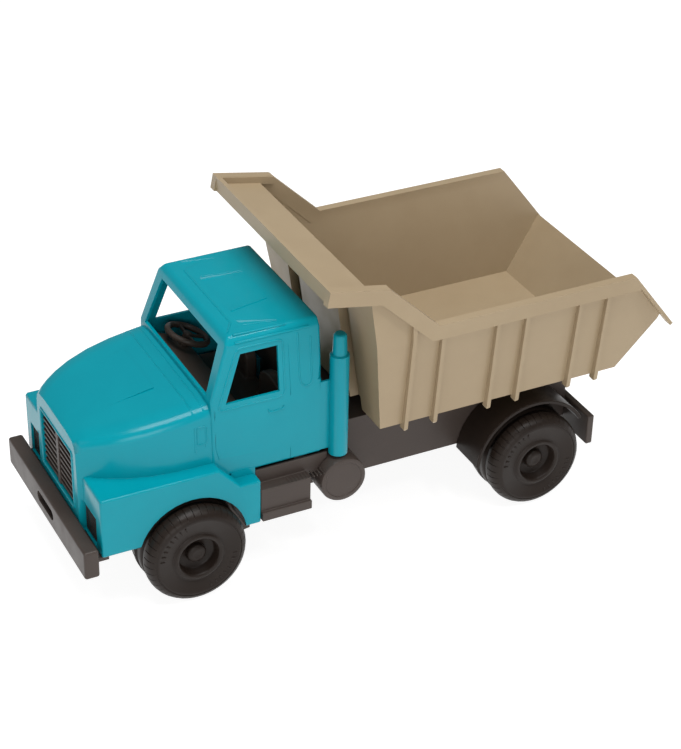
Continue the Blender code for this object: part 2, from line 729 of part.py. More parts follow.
def screw(name, x, y, seat, reach, steel):
    """A pan-head screw driven upwards; its head bears on the seat."""
    top = seat - GAP
    profile = [
        (top - SCREW_HEAD_HEIGHT, 0),
        (top - SCREW_HEAD_HEIGHT, SCREW_HEAD_RADIUS - 0.0008),
        (top - SCREW_HEAD_HEIGHT + 0.0009, SCREW_HEAD_RADIUS),
        (top, SCREW_HEAD_RADIUS),
        (top, SCREW_RADIUS),
        (top + reach, SCREW_RADIUS),
        (top + reach + 0.001, 0),
    ]
    return finish(lathe(name, profile, (x, y, 0), "Z", 12), steel)


def screws(steel):
    for side, word in ((1, "left"), (-1, "right")):
        x, y = FRONT_POST
        screw(f"cab_screw_front_{word}", x, side * y, NOSE_LOW_Z, 0.013, steel)
        x, y = REAR_POST
        screw(f"cab_screw_rear_{word}", x, side * y, DECK_Z - DECK_THICKNESS, 0.014, steel)
    seat = BEAM_LOW_Z - GAP - KEEPER_THICKNESS
    for word, x in (("front", FRONT_AXLE_X), ("rear", REAR_AXLE_X)):
        for side, hand in ((1, "left"), (-1, "right")):
            name = f"keeper_screw_{word}_{hand}"
            screw(name, x + side * KEEPER_SCREW_X, side * KEEPER_SCREW_Y, seat, 0.011, steel)


def front_bumper(plastic):
    half = BUMPER_HALF_WIDTH
    bar = box("front_bumper", (BUMPER_BACK_X, NOSE_X), (-half, half), (BUMPER_LOW_Z, BUMPER_HIGH_Z))
    bevel(bar, 0.0022, 3)
    radius = (SLOT_HIGH_Z - SLOT_LOW_Z) / 2
    middle = SLOT_LOW_Z + radius
    outline = []
    for side in (1, -1):
        for i in range(9):
            turn = side * math.radians(90) + math.pi * (i / 8 - 0.5) - math.radians(90)
            y = side * (SLOT_HALF_WIDTH - radius)
            outline.append((y + radius * math.cos(turn), middle + radius * math.sin(turn)))
    cut(bar, prism("slot", outline, "X", BUMPER_BACK_X - 0.01, NOSE_X + 0.01))
    return finish(bar, plastic)


def step(plastic):
    """The footstep under the door, with its skirt plate and the arm that reaches the chassis."""
    front = FENDER_REAR_X - GAP
    back = front - STEP_LENGTH
    arm_y = RAIL_HALF_WIDTH + GAP
    part = box("step_left", (back, front), (arm_y, STEP_Y), (STEP_LIP_Z - 0.002, STEP_TOP_Z))
    lip = box("lip", (back, front), (arm_y + 0.006, STEP_LIP_Y), (STEP_LOW_Z, STEP_LIP_Z))
    skirt_length = (CAB_BACK_X - 0.005, front)
    skirt = box("skirt", skirt_length, (SKIRT_Y - WALL, SKIRT_Y), (STEP_TOP_Z - 0.004, SKIRT_TOP_Z))
    join(part, lip, skirt)
    cut(part, rod("tank_room", (TANK_X, 0, TANK_Z), TANK_RADIUS + 0.0006, 0.03, 0.12, "Y", ROUND))
    inside = (arm_y + 0.006 + WALL, STEP_Y - WALL)
    cut(part, box("core", (back + WALL, front - WALL), inside, (STEP_LOW_Z - 0.01, STEP_TOP_Z - WALL)))
    return finish(part, plastic)


def fuel_tank(plastic):
    low = RAIL_HALF_WIDTH + GAP
    profile = [
        (low, 0),
        (low, TANK_RADIUS),
        (TANK_Y - 0.0008, TANK_RADIUS),
        (TANK_Y, TANK_RADIUS - 0.0008),
        (TANK_Y, 0),
    ]
    return finish(lathe("fuel_tank_left", profile, (TANK_X, 0, TANK_Z), "Y", ROUND), plastic)


def arch_liner(plastic):
    """The curved splash wall between a front wheel and the back of its wheel arch."""
    radius = ARCH_RADIUS + LINER_MARGIN
    start, stop = math.radians(112), math.radians(176)
    turns = [start + (stop - start) * i / 10 for i in range(11)]
    ring = [(radius * math.cos(t), radius * math.sin(t)) for t in turns]
    radius += LINER_THICKNESS
    ring += [(radius * math.cos(t), radius * math.sin(t)) for t in reversed(turns)]
    outline = [(FRONT_AXLE_X + x, TYRE_RADIUS + ARCH_RISE + z) for x, z in ring]
    wide = (RAIL_HALF_WIDTH + GAP, FENDER_HALF_WIDTH - WALL - 2 * GAP)
    return finish(prism("wheel_arch_liner_left", outline, "Y", *wide), plastic)


def mudguard(plastic):
    """A curved guard over a rear wheel, fixed to the chassis side."""
    start, stop = math.radians(4), math.radians(150)
    steps = 20
    turns = [start + (stop - start) * i / steps for i in range(steps + 1)]
    outer = [(GUARD_RADIUS * math.cos(t), GUARD_RADIUS * math.sin(t)) for t in turns]
    inner_radius = GUARD_RADIUS - GUARD_THICKNESS
    inner = [(inner_radius * math.cos(t), inner_radius * math.sin(t)) for t in reversed(turns)]
    outline = [(REAR_AXLE_X + x, TYRE_RADIUS + z) for x, z in outer + inner]
    guard = prism("mudguard_left", outline, "Y", RAIL_HALF_WIDTH + GAP, GUARD_Y)
    return finish(guard, plastic)


def tail_bar(plastic):
    back = REAR_AXLE_X - TAILBAR_BACK
    front = back + TAILBAR_THICKNESS
    half = TAILBAR_HALF_WIDTH
    bar = box("rear_crossbar", (back, front), (-half, half), (TAILBAR_LOW_Z, TAILBAR_HIGH_Z))
    return finish(bevel(bar, 0.0012, 2), plastic)


# ---- running gear ----
def wheel_profile():
    """Half section of a wheel, from its inner face outwards: tyre, dished rim, web and hub."""
    width = TYRE_WIDTH
    bore = AXLE_RADIUS + GAP
    floor = width - RIM_DEPTH
    web = floor - 0.003
    hub = HUB_RADIUS + 0.001
    return [
        (0.004, bore),
        (0.004, hub),
        (web, hub),
        (web, TYRE_RADIUS - 0.009),
        (0.0, TYRE_RADIUS - 0.007),
        (0.0, TYRE_RADIUS - 0.0012),
        (0.0012, TYRE_RADIUS),
        (width - 0.010, TYRE_RADIUS),
        (width - 0.004, TYRE_RADIUS - 0.0012),
        (width - 0.0008, TYRE_RADIUS - 0.0050),
        (width, TYRE_RADIUS - 0.0085),
        (width, RIM_RADIUS + 0.0035),
        (width - 0.001, RIM_RADIUS + 0.001),
        (floor, RIM_RADIUS),
        (floor, bore),
    ]


def wheel(name, x, side, rubber):
    centre = (x, WHEEL_INNER_Y, TYRE_RADIUS)
    turned = lathe(name, wheel_profile(), centre, "Y", 32)
    turned.data.transform(Matrix.Translation((-x, 0, -TYRE_RADIUS)))
    if side < 0:
        turned.data.transform(Matrix.Diagonal((1, -1, 1, 1)))
        turned.data.flip_normals()
    turned.data.transform(Matrix.Translation((x, 0, TYRE_RADIUS)))
    return finish(turned, rubber, (x, 0, TYRE_RADIUS))


def hub_cap(name, x, side, plastic):
    seat = WHEEL_INNER_Y + TYRE_WIDTH - RIM_DEPTH + GAP
    profile = [
        (seat, 0),
        (seat, HUB_RADIUS),
        (seat + 0.003, HUB_RADIUS),
        (seat + 0.0042, HUB_RADIUS - 0.0012),
        (seat + 0.005, HUB_RADIUS - 0.004),
        (seat + 0.0052, 0),
    ]
    cap = lathe(name, profile, (x, 0, TYRE_RADIUS), "Y", 16)
    if side < 0:
        cap.data.transform(Matrix.Diagonal((1, -1, 1, 1)))
        cap.data.flip_normals()
    return finish(cap, plastic, (x, 0, TYRE_RADIUS))


def running_gear(rubber, plastic, steel):
    reach = WHEEL_INNER_Y + TYRE_WIDTH - RIM_DEPTH
    for word, x in (("front", FRONT_AXLE_X), ("rear", REAR_AXLE_X)):
        place = (x, 0, TYRE_RADIUS)
        finish(rod(f"{word}_axle", place, AXLE_RADIUS, -reach, reach, "Y", 20), steel, place)
        for side, hand in ((1, "left"), (-1, "right")):
            wheel(f"wheel_{word}_{hand}", x, side, rubber)
            hub_cap(f"hub_cap_{word}_{hand}", x, side, plastic)


# ---- tipping bed ----
SHIELD_FRONT_X = BED_FRONT_X + 0.0582
SHIELD_REAR_X = SHIELD_FRONT_X - SHIELD_LENGTH
RIM_TOP = [
    (SHIELD_FRONT_X - GAP, BODY_HEIGHT - GAP * SHIELD_DROP / SHIELD_LENGTH),
    (SHIELD_REAR_X, BODY_HEIGHT - SHIELD_DROP),
    (SHIELD_REAR_X - SHIELD_SLOPE, BED_RIM_Z),
    (BED_REAR_X + 0.0014, BED_RIM_Z),
    (TAIL_X, BED_TAIL_Z),
]


def shortened(points, length):
    """An open line with a length taken off each end."""
    points = [Vector(p) for p in points]
    first = points[0] + (points[1] - points[0]).normalized() * length
    last = points[-1] + (points[-2] - points[-1]).normalized() * length
    return [first, *points[1:-1], last]


def below_rim(drop, trim=0.0):
    """The rim's top line moved in by a distance; the line runs backwards, so inwards is to its left."""
    return shifted(shortened(RIM_TOP, trim), -drop)


def rim_foot():
    """The lower edge of the rim: a deep lip along the side, then only a thin flange down the tail."""
    foot = below_rim(RIM_LIP)
    flange = below_rim(TAIL_FLANGE)
    corner = crossing(foot[-3], foot[-2], flange[-2], flange[-1])
    return [*foot[:-2], corner, flange[-1]]


def bed_profile(wall, top):
    """The bed seen from the side: floor, leaning front wall, rim line and rising tail."""
    closed = [
        (BED_REAR_X, BED_LOW_Z),
        (BED_FRONT_X, BED_LOW_Z),
        (BED_FRONT_X + BED_WALL_LEAN, BED_CREST_Z),
        (SHIELD_REAR_X, BED_CREST_Z),
        (SHIELD_REAR_X - SHIELD_SLOPE, BED_RIM_Z - 0.002),
        (BED_REAR_X + 0.0014, BED_RIM_Z - 0.002),
        (TAIL_X + 0.0058, BED_TAIL_Z + 0.0050),
        (TAIL_X + 0.0075, BED_TAIL_Z),
    ]
    if not wall:
        return closed
    shrunk = inset(closed, wall)
    floor_rear, floor_front, wall_top = shrunk[0], shrunk[1], shrunk[2]
    along = (wall_top - floor_front).normalized()
    ramp = (shrunk[7] - floor_rear).normalized()
    return [
        floor_rear,
        floor_front,
        floor_front + along * (top - floor_front.y) / along.y,
        floor_rear + ramp * (top - floor_rear.y) / ramp.y,
    ]


def bed_section(wall):
    top = BODY_HEIGHT + 0.02
    right = [
        (BED_LOW_HALF, BED_LOW_Z - 0.001),
        (BED_WALL_TOP_HALF, BED_RIM_Z - RIM_LIP + 0.004),
        (BED_WALL_TOP_HALF, top),
    ]
    outline = right + [(-y, z) for y, z in reversed(right)]
    return inset(outline, wall) if wall else outline


def channel_outline(side, margin):
    """A front-wall channel seen from above, as a share of the truck's width."""
    low, high = sorted((side * (CHANNEL_INNER_Y - margin), side * (CHANNEL_OUTER_Y + margin)))
    return low, high


def channel(name, side, margin):
    """A channel sunk into the leaning front wall, its margin wider and deeper than the visible one."""
    low, high = channel_outline(side, margin)
    depth = CHANNEL_DEPTH + margin
    foot, head = BED_LOW_Z - 0.02, BODY_HEIGHT - SHIELD_DROP - RIM_LIP - 0.008 + margin
    foot_x = BED_FRONT_X + BED_LEAN * (foot - BED_LOW_Z)
    head_x = BED_FRONT_X + BED_LEAN * (head - BED_LOW_Z)
    clear = 0.02
    outline = [(foot_x - depth, foot), (foot_x + clear, foot), (head_x + clear, head), (head_x - depth, head)]
    return prism(name, outline, "Y", low, high)


def bed_tub(name):
    outer = prism(name, bed_profile(0.0, 0.0), "Y", -ASIDE, ASIDE)
    combine(outer, prism("section", bed_section(0.0), "X", TAIL_X - 0.05, NOSE_X), "INTERSECT")
    inner = prism("inner", bed_profile(WALL, BODY_HEIGHT + 0.01), "Y", -ASIDE, ASIDE)
    combine(inner, prism("section", bed_section(WALL), "X", TAIL_X - 0.05, NOSE_X), "INTERSECT")
    for side in (1, -1):
        cut(inner, channel("bulge", side, WALL))
    cut(outer, inner)
    for side in (1, -1):
        cut(outer, channel("channel", side, 0.0))
    return outer


def rim_room(drop):
    """An edge of the hollow inside the rim; it ends short of the sloping tail."""
    line = below_rim(drop, 4 * WALL)[:-1]
    line[-1].x += 4 * WALL
    return line


def rim_side(side):
    """The flange along one side of the bed: a flat top with a lip turned down at its outer edge."""
    low, high = sorted((side * (BED_WALL_TOP_HALF - WALL - GAP), side * BED_RIM_HALF))
    rim = prism("rim", [*RIM_TOP, *reversed(rim_foot())], "Y", low, high)
    under = [*rim_room(WALL), *reversed(rim_room(RIM_LIP + 0.004))]
    low, high = sorted((side * (BED_WALL_TOP_HALF + 0.0002), side * (BED_RIM_HALF - WALL)))
    room = prism("under", under, "Y", low, high)
    return cut(rim, room)


def shield():
    """The plate over the cab, sunk between its raised edges."""
    slope = SHIELD_DROP / SHIELD_LENGTH

    def level(x, drop):
        return BODY_HEIGHT - (SHIELD_FRONT_X - x) * slope - drop

    def slab(name, x, y, drops):
        outline = [
            (x[0], level(x[0], drops[1])),
            (x[1], level(x[1], drops[1])),
            (x[1], level(x[1], drops[0])),
            (x[0], level(x[0], drops[0])),
        ]
        return prism(name, outline, "Y", y[0], y[1])

    edge = BED_RIM_HALF - 0.0095
    reach = (BED_FRONT_X + BED_WALL_LEAN - WALL, SHIELD_FRONT_X - 0.001)
    wide = (-BED_RIM_HALF + 0.001, BED_RIM_HALF - 0.001)
    plate = slab("plate", reach, wide, (SHIELD_POCKET, SHIELD_POCKET + WALL))
    half = BED_RIM_HALF - GAP
    front = slab("front", (SHIELD_FRONT_X - 0.0045, SHIELD_FRONT_X), (-half, half), (0.0, RIM_LIP))
    join(plate, front)
    border = (SHIELD_REAR_X - 0.001, SHIELD_FRONT_X - 0.001)
    for side in (1, -1):
        y = sorted((side * edge, side * (BED_RIM_HALF - 0.0005)))
        join(plate, slab("edge", border, y, (0.0002, SHIELD_POCKET + 0.001)))
    return plate


def rim_top_z(x):
    """Height of the rim's top line above a station."""
    for (x1, z1), (x0, z0) in zip(RIM_TOP, RIM_TOP[1:]):
        if x0 <= x <= x1:
            return z0 + (z1 - z0) * (x - x0) / (x1 - x0)
    return BED_RIM_Z


def rib_from_side(low, high):
    """A rib seen from the truck's side: parallel edges and a round foot."""
    half = RIB_THICKNESS / 2
    turns = [math.pi + math.pi * i / 8 for i in range(9)]
    foot = [(half * math.cos(t), low + half + half * math.sin(t)) for t in turns]
    return [*foot, (half, high), (-half, high)]


def rib(side, x):
    """An upright rib on the side of the bed, from under the rim to just below the floor."""
    knee = BED_RIM_Z - RIM_LIP + 0.004
    slope = (BED_WALL_TOP_HALF - BED_LOW_HALF) / (knee - BED_LOW_Z)
    low = BED_LOW_Z - RIB_DROP
    high = rim_top_z(x) - 0.004
    inner = BED_WALL_TOP_HALF - 0.0015
    outer = BED_RIM_HALF - 0.0009
    foot = BED_LOW_HALF - slope * RIB_DROP
    outline = [
        (foot - 0.0015, low + 0.0015),
        (foot + RIB_PROUD - 0.0015, low),
        (foot + RIB_PROUD, low + 0.002),
        (outer, knee),
        (outer, high),
        (inner, high),
        (inner, knee),
    ]
    outline = [(side * y, z) for y, z in outline]
    upright = prism("rib", outline, "X", -RIB_THICKNESS, RIB_THICKNESS)
    combine(upright, prism("round foot", rib_from_side(low, high + 0.001), "Y", -ASIDE, ASIDE), "INTERSECT")
    for vertex in upright.data.vertices:
        vertex.co.x += x + RIB_LEAN * (vertex.co.z - high) / (high - low)
    return upright


def rib_stations():
    """Pairs of ribs spread along the bed's floor."""
    first = BED_FRONT_X - 0.018
    last = BED_REAR_X + 0.0260
    pitch = (first - last - RIB_SPACING) / (RIB_PAIRS - 1)
    for pair in range(RIB_PAIRS):
        yield first - pair * pitch
        yield first - pair * pitch - RIB_SPACING


def hinge_lug(side):
    low, high = sorted((side * LUG_INNER_Y, side * (LUG_INNER_Y + LUG_WIDTH)))
    outline = [(HINGE_X - LUG_RADIUS, BED_LOW_Z + 0.001)]
    for i in range(13):
        turn = math.pi + math.pi * i / 12
        outline.append((HINGE_X + LUG_RADIUS * math.cos(turn), HINGE_Z + LUG_RADIUS * math.sin(turn)))
    outline.append((HINGE_X + LUG_RADIUS + 0.012, BED_LOW_Z + 0.001))
    return prism("lug", outline, "Y", low, high)


def runner(side):
    """The rib under the floor that rests on the chassis deck when the bed is down."""
    low, high = sorted((side * 0.042, side * 0.046))
    length = (HINGE_X + 0.03, BED_FRONT_X - 0.012)
    return box("runner", length, (low, high), (DECK_Z + GAP, BED_LOW_Z + 0.001))


def dump_body(plastic):
    body = bed_tub("dump_body")
    join(body, shield())
    for side in (1, -1):
        join(body, rim_side(side))
        for x in rib_stations():
            join(body, rib(side, x))
        join(body, hinge_lug(side), runner(side))
    pin_hole = HINGE_RADIUS + GAP
    cut(body, rod("hinge_hole", (HINGE_X, 0, HINGE_Z), pin_hole, -0.06, 0.06, "Y", 24))
    return finish(body, plastic, (HINGE_X, 0, HINGE_Z))


def hinge_pin(steel):
    head = 0.0012
    reach = RAIL_HALF_WIDTH + GAP
    profile = [
        (-reach - head, 0),
        (-reach - head, HINGE_RADIUS + 0.001),
        (-reach, HINGE_RADIUS + 0.001),
        (-reach, HINGE_RADIUS),
        (reach, HINGE_RADIUS),
        (reach, HINGE_RADIUS + 0.001),
        (reach + head, HINGE_RADIUS + 0.001),
        (reach + head, 0),
    ]
    return finish(lathe("bed_hinge_pin", profile, (HINGE_X, 0, HINGE_Z), "Y", 24), steel)


# ---- assembly ----
def main():
    clear_scene()
    teal = material("teal gloss plastic", (0.005, 0.30, 0.40), 0.28)
    dark = material("warm grey plastic", (0.075, 0.060, 0.052), 0.45)
    tyre = material("brown black plastic", (0.038, 0.028, 0.024), 0.5)
    tan = material("tan plastic", (0.42, 0.33, 0.21), 0.4)
    steel = material("bright steel", (0.62, 0.62, 0.62), 0.3, 1.0)
    cab_shell(teal)
    grille(dark)
    mirrored(headlight(dark), "headlight_right", dark)
    seat_bench(dark)
    dashboard(dark)
    steering_wheel(dark)
    chassis_frame(dark)
    axle_keeper("axle_keeper_front", FRONT_AXLE_X, dark)
    axle_keeper("axle_keeper_rear", REAR_AXLE_X, dark)
    screws(steel)
    front_bumper(dark)
    mirrored(step(dark), "step_right", dark)
    mirrored(fuel_tank(dark), "fuel_tank_right", dark)
    mirrored(arch_liner(dark), "wheel_arch_liner_right", dark)
    mirrored(mudguard(dark), "mudguard_right", dark)
    tail_bar(dark)
    running_gear(tyre, dark, steel)
    dump_body(tan)
    hinge_pin(steel)


main()
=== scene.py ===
# %% [markdown]
# # A toy dump truck, finished piece by piece
# The real truck is a big sandpit toy: a glossy teal cab and bonnet in one moulding, a tan bed that
# tips, and dark wheels, bumper and chassis. The engineering model gives every piece its place and
# its joint. This lesson dresses that frame: it rounds the moulded edges, adds the raised and sunk
# details that the moulds leave, cuts the tyres' tread, and mixes the plastics.

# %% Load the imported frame
import math

import bmesh
import bpy
from mathutils import Matrix, Vector
from mathutils.bvhtree import BVHTree


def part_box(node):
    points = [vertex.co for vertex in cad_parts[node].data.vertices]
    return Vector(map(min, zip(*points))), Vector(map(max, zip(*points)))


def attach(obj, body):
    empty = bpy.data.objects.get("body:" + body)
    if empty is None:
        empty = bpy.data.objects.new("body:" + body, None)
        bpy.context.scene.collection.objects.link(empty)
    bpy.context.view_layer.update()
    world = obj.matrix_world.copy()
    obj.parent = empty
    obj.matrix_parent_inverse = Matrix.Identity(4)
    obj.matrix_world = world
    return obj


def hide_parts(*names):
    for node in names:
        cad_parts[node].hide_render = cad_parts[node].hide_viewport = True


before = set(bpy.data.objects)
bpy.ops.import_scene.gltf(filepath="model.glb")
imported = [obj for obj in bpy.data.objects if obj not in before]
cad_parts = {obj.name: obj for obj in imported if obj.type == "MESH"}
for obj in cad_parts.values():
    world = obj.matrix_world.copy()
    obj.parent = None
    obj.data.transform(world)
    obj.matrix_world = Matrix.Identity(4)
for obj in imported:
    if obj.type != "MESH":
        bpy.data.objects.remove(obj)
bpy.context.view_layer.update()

for left_over in ("Cube", "Light", "Camera"):
    if left_over in bpy.data.objects:
        bpy.data.objects.remove(bpy.data.objects[left_over], do_unlink=True)

# %% [markdown]
# ## Shader sums in plain Python
# A material is a small sum: a colour that drifts, a roughness that changes where hands have rubbed.
# Wrapping a socket in a class lets the sum be written as Python writes it, with each operator
# adding its Math node. Every other node comes from one method.

# %% A wire that can be added and multiplied
class Wire:
    """An output socket that takes part in arithmetic."""

    def __init__(self, bench, socket):
        self.bench = bench
        self.socket = socket

    def sum_of(self, operation, first, second):
        return self.bench.node("ShaderNodeMath", {"operation": operation}, {0: first, 1: second})

    def __add__(self, other):
        return self.sum_of("ADD", self, other)

    def __radd__(self, other):
        return self.sum_of("ADD", other, self)

    def __sub__(self, other):
        return self.sum_of("SUBTRACT", self, other)

    def __rsub__(self, other):
        return self.sum_of("SUBTRACT", other, self)

    def __mul__(self, other):
        return self.sum_of("MULTIPLY", self, other)

    def __rmul__(self, other):
        return self.sum_of("MULTIPLY", other, self)

    def __truediv__(self, other):
        return self.sum_of("DIVIDE", self, other)

    def __rtruediv__(self, other):
        return self.sum_of("DIVIDE", other, self)


# %% The bench where nodes are laid out
class Bench:
    """A node tree under construction, for a material or for geometry."""

    def __init__(self, tree):
        self.tree = tree
        self.count = 0

    def connect(self, value, target):
        if isinstance(value, Wire):
            self.tree.links.new(value.socket, target)
        elif value is not None:
            target.default_value = value

    def node(self, kind, settings=None, inputs=None, output=0):
        made = self.tree.nodes.new(kind)
        made.location = (180 * (self.count % 8), -260 * (self.count // 8))
        self.count += 1
        for key, value in (settings or {}).items():
            setattr(made, key, value)
        for key, value in (inputs or {}).items():
            self.connect(value, made.inputs[key])
        return Wire(self, made.outputs[output]) if made.outputs else made

    def ramp(self, value, low, high):
        """0 below low, 1 above high, and smooth in between."""
        settings = {"interpolation_type": "SMOOTHSTEP"}
        inputs = {0: value, 1: low, 2: high, 3: 0.0, 4: 1.0}
        return self.node("ShaderNodeMapRange", settings, inputs)

    def mix(self, share, first, second):
        settings = {"data_type": "RGBA", "blend_type": "MIX"}
        return self.node("ShaderNodeMix", settings, {0: share, 6: first, 7: second}, 2)

    def noise(self, where, scale, detail=3.0, rough=0.5):
        inputs = {"Vector": where, "Scale": scale, "Detail": detail, "Roughness": rough}
        return self.node("ShaderNodeTexNoise", {"noise_dimensions": "3D"}, inputs)


# %% [markdown]
# ## Moulded plastic
# Coloured pellets never melt perfectly evenly, so a large moulding drifts a little in colour and in
# gloss, its skin has a fine orange-peel, and play leaves short scuffs that dull the shine. All of
# it is written on Object coordinates, so the pattern stays with the piece when it moves.

# %% One recipe for every plastic
def solid(colour):
    return (*colour, 1.0)


def plastic(name, colour, drift, gloss, peel, scuffs, shine=0.3):
    """A moulded plastic from its colour, the colour it drifts towards, and its roughness range."""
    made = bpy.data.materials.new(name)
    made.use_nodes = True
    made.diffuse_color = solid(colour)
    bench = Bench(made.node_tree)
    shader = made.node_tree.nodes["Principled BSDF"]
    where = bench.node("ShaderNodeTexCoord", output=3)
    clouds = bench.noise(where, 9.0, 3.0, 0.5)
    flow = bench.noise(where, 55.0, 4.0, 0.55)
    dirt = bench.noise(where, 300.0, 3.0, 0.6)
    stretch = bench.node("ShaderNodeMapping", {}, {"Vector": where, "Scale": (60.0, 260.0, 900.0)})
    scratch = bench.ramp(bench.noise(stretch, 1.0, 4.0, 0.65), 0.62, 0.80)
    tint = bench.mix(bench.ramp(clouds * 0.7 + flow * 0.3, 0.34, 0.68), solid(colour), solid(drift))
    pale = tuple(min(1.0, 0.8 * c + 0.10) for c in colour)
    worn = scratch * scuffs * bench.ramp(clouds, 0.45, 0.7)
    bench.connect(bench.mix(worn, tint, solid(pale)), shader.inputs["Base Color"])
    low, high = gloss
    rough = low + (high - low) * bench.ramp(flow, 0.30, 0.72)
    rough = rough + scratch * (0.2 * scuffs) + dirt * 0.03
    bench.connect(rough, shader.inputs["Roughness"])
    shader.inputs["Specular IOR Level"].default_value = shine
    shader.inputs["IOR"].default_value = 1.47
    skin = bench.noise(where, 900.0, 2.0, 0.5) * 0.3 + clouds * 0.7
    bump = bench.node("ShaderNodeBump", {}, {"Strength": peel, "Distance": 0.0003, "Height": skin})
    bench.connect(bump, shader.inputs["Normal"])
    return made


# %% The plastics of this truck
TEAL = plastic(
    "teal gloss plastic", colour=(0.0005, 0.270, 0.340), drift=(0.0005, 0.290, 0.360),
    gloss=(0.15, 0.22), peel=0.04, scuffs=0.12, shine=0.26,
)
TAN = plastic(
    "tan bed plastic", colour=(0.350, 0.266, 0.166), drift=(0.375, 0.289, 0.183),
    gloss=(0.32, 0.42), peel=0.08, scuffs=0.15, shine=0.28,
)
GREY = plastic(
    "warm grey plastic", colour=(0.056, 0.043, 0.037), drift=(0.066, 0.051, 0.044),
    gloss=(0.34, 0.44), peel=0.10, scuffs=0.25, shine=0.28,
)
# The tyres' plastic; the rear guards take it too, as painted shade from the bed above.
TYRE_AND_GUARD_SHADE = plastic(
    "brown black tyre plastic", colour=(0.017, 0.0115, 0.0088), drift=(0.021, 0.0145, 0.0112),
    gloss=(0.32, 0.44), peel=0.12, scuffs=0.20, shine=0.20,
)
INSIDE = plastic(
    "dark interior plastic", colour=(0.060, 0.044, 0.035), drift=(0.070, 0.052, 0.042),
    gloss=(0.32, 0.46), peel=0.10, scuffs=0.15, shine=0.30,
)
LAMP = plastic(
    "smoked lamp plastic", colour=(0.030, 0.023, 0.020), drift=(0.040, 0.032, 0.028),
    gloss=(0.16, 0.26), peel=0.08, scuffs=0.10, shine=0.40,
)
print("plastics", [m.name for m in (TEAL, TAN, GREY, TYRE_AND_GUARD_SHADE, INSIDE, LAMP)])

# %% [markdown]
# ## Bright steel
# The axles, the hinge pin and the screws are plain zinc-plated steel. Drawn wire has fine rings or
# lines round it, so the roughness is streaked, and the plating is a little cloudy.

# %% The steel
def steel_finish(name):
    made = bpy.data.materials.new(name)
    made.use_nodes = True
    bench = Bench(made.node_tree)
    shader = made.node_tree.nodes["Principled BSDF"]
    where = bench.node("ShaderNodeTexCoord", output=3)
    streaks = bench.node("ShaderNodeMapping", {}, {"Vector": where, "Scale": (90.0, 2600.0, 90.0)})
    lines = bench.noise(streaks, 1.0, 3.0, 0.6)
    cloud = bench.noise(where, 160.0, 3.0, 0.55)
    plating = bench.mix(cloud, solid((0.50, 0.49, 0.47)), solid((0.66, 0.65, 0.63)))
    bench.connect(plating, shader.inputs["Base Color"])
    bench.connect(0.22 + lines * 0.22 + cloud * 0.08, shader.inputs["Roughness"])
    shader.inputs["Metallic"].default_value = 1.0
    bump = bench.node("ShaderNodeBump", {}, {"Strength": 0.15, "Distance": 0.0002, "Height": lines})
    bench.connect(bump, shader.inputs["Normal"])
    return made


STEEL = steel_finish("zinc plated steel")

# %% [markdown]
# ## Mesh tools
# Most pieces start as a few points: an outline drawn out, a profile turned, or a line given
# thickness. Modifiers then round the edges, and the result is kept as a plain mesh.

# %% Small makers
def from_bmesh(name, bm):
    bmesh.ops.recalc_face_normals(bm, faces=bm.faces)
    mesh = bpy.data.meshes.new(name)
    bm.to_mesh(mesh)
    bm.free()
    made = bpy.data.objects.new(name, mesh)
    bpy.context.scene.collection.objects.link(made)
    return made


def settled(obj):
    """The object with its modifiers made real, as one plain mesh."""
    bpy.context.view_layer.update()
    graph = bpy.context.evaluated_depsgraph_get()
    mesh = bpy.data.meshes.new_from_object(obj.evaluated_get(graph))
    if obj.type == "MESH":
        obj.modifiers.clear()
        obj.data = mesh
        return obj
    made = bpy.data.objects.new(obj.name, mesh)
    bpy.context.scene.collection.objects.link(made)
    name = obj.name
    bpy.data.objects.remove(obj, do_unlink=True)
    made.name = name
    return made


MIRROR = Matrix.Diagonal((1, -1, 1, 1))


def smooth(obj, angle=34):
    obj.data.shade_smooth()
    obj.data.set_sharp_from_angle(angle=math.radians(angle))
    return obj


def even(obj, angle=50):
    """Smooth shading that lets the big flat faces stay flat."""
    smooth(obj, angle)
    modifier = obj.modifiers.new("even", "WEIGHTED_NORMAL")
    modifier.keep_sharp = True
    return settled(obj)


def soften(obj, width, segments=3, angle=28):
    """Round every crisp edge, as a mould does, and keep the flats flat."""
    modifier = obj.modifiers.new("round", "BEVEL")
    modifier.width = width
    modifier.segments = segments
    modifier.limit_method = "ANGLE"
    modifier.angle_limit = math.radians(angle)
    return even(settled(obj))


def loft(name, rings):
    bm = bmesh.new()
    loops = [[bm.verts.new(p) for p in ring] for ring in rings]
    count = len(loops[0])
    for low, high in zip(loops, loops[1:]):
        for i in range(count):
            j = (i + 1) % count
            bm.faces.new((low[i], low[j], high[j], high[i]))
    bm.faces.new(loops[0])
    bm.faces.new(list(reversed(loops[-1])))
    return from_bmesh(name, bm)


def slab(name, x, y, z):
    corners = [(x[0], y[0]), (x[1], y[0]), (x[1], y[1]), (x[0], y[1])]
    return loft(name, [[(a, b, level) for a, b in corners] for level in z])


def turned(name, profile, segments=96, axis="Y"):
    """A closed profile of (along, radius) spun about an axis through the origin."""
    bm = bmesh.new()
    points = [bm.verts.new((radius, 0.0, along)) for along, radius in profile]
    edges = [bm.edges.new(pair) for pair in zip(points, points[1:] + points[:1])]
    full_turn = {"axis": (0, 0, 1), "cent": (0, 0, 0), "angle": math.tau, "steps": segments}
    bmesh.ops.spin(bm, geom=points + edges, **full_turn)
    bmesh.ops.remove_doubles(bm, verts=bm.verts, dist=1e-6)
    bmesh.ops.delete(bm, geom=[e for e in bm.edges if not e.link_faces], context="EDGES")
    lay_down = Matrix.Rotation(math.radians(-90), 4, "X")
    bmesh.ops.transform(bm, matrix=lay_down if axis == "Y" else Matrix.Identity(4), verts=bm.verts)
    return from_bmesh(name, bm)


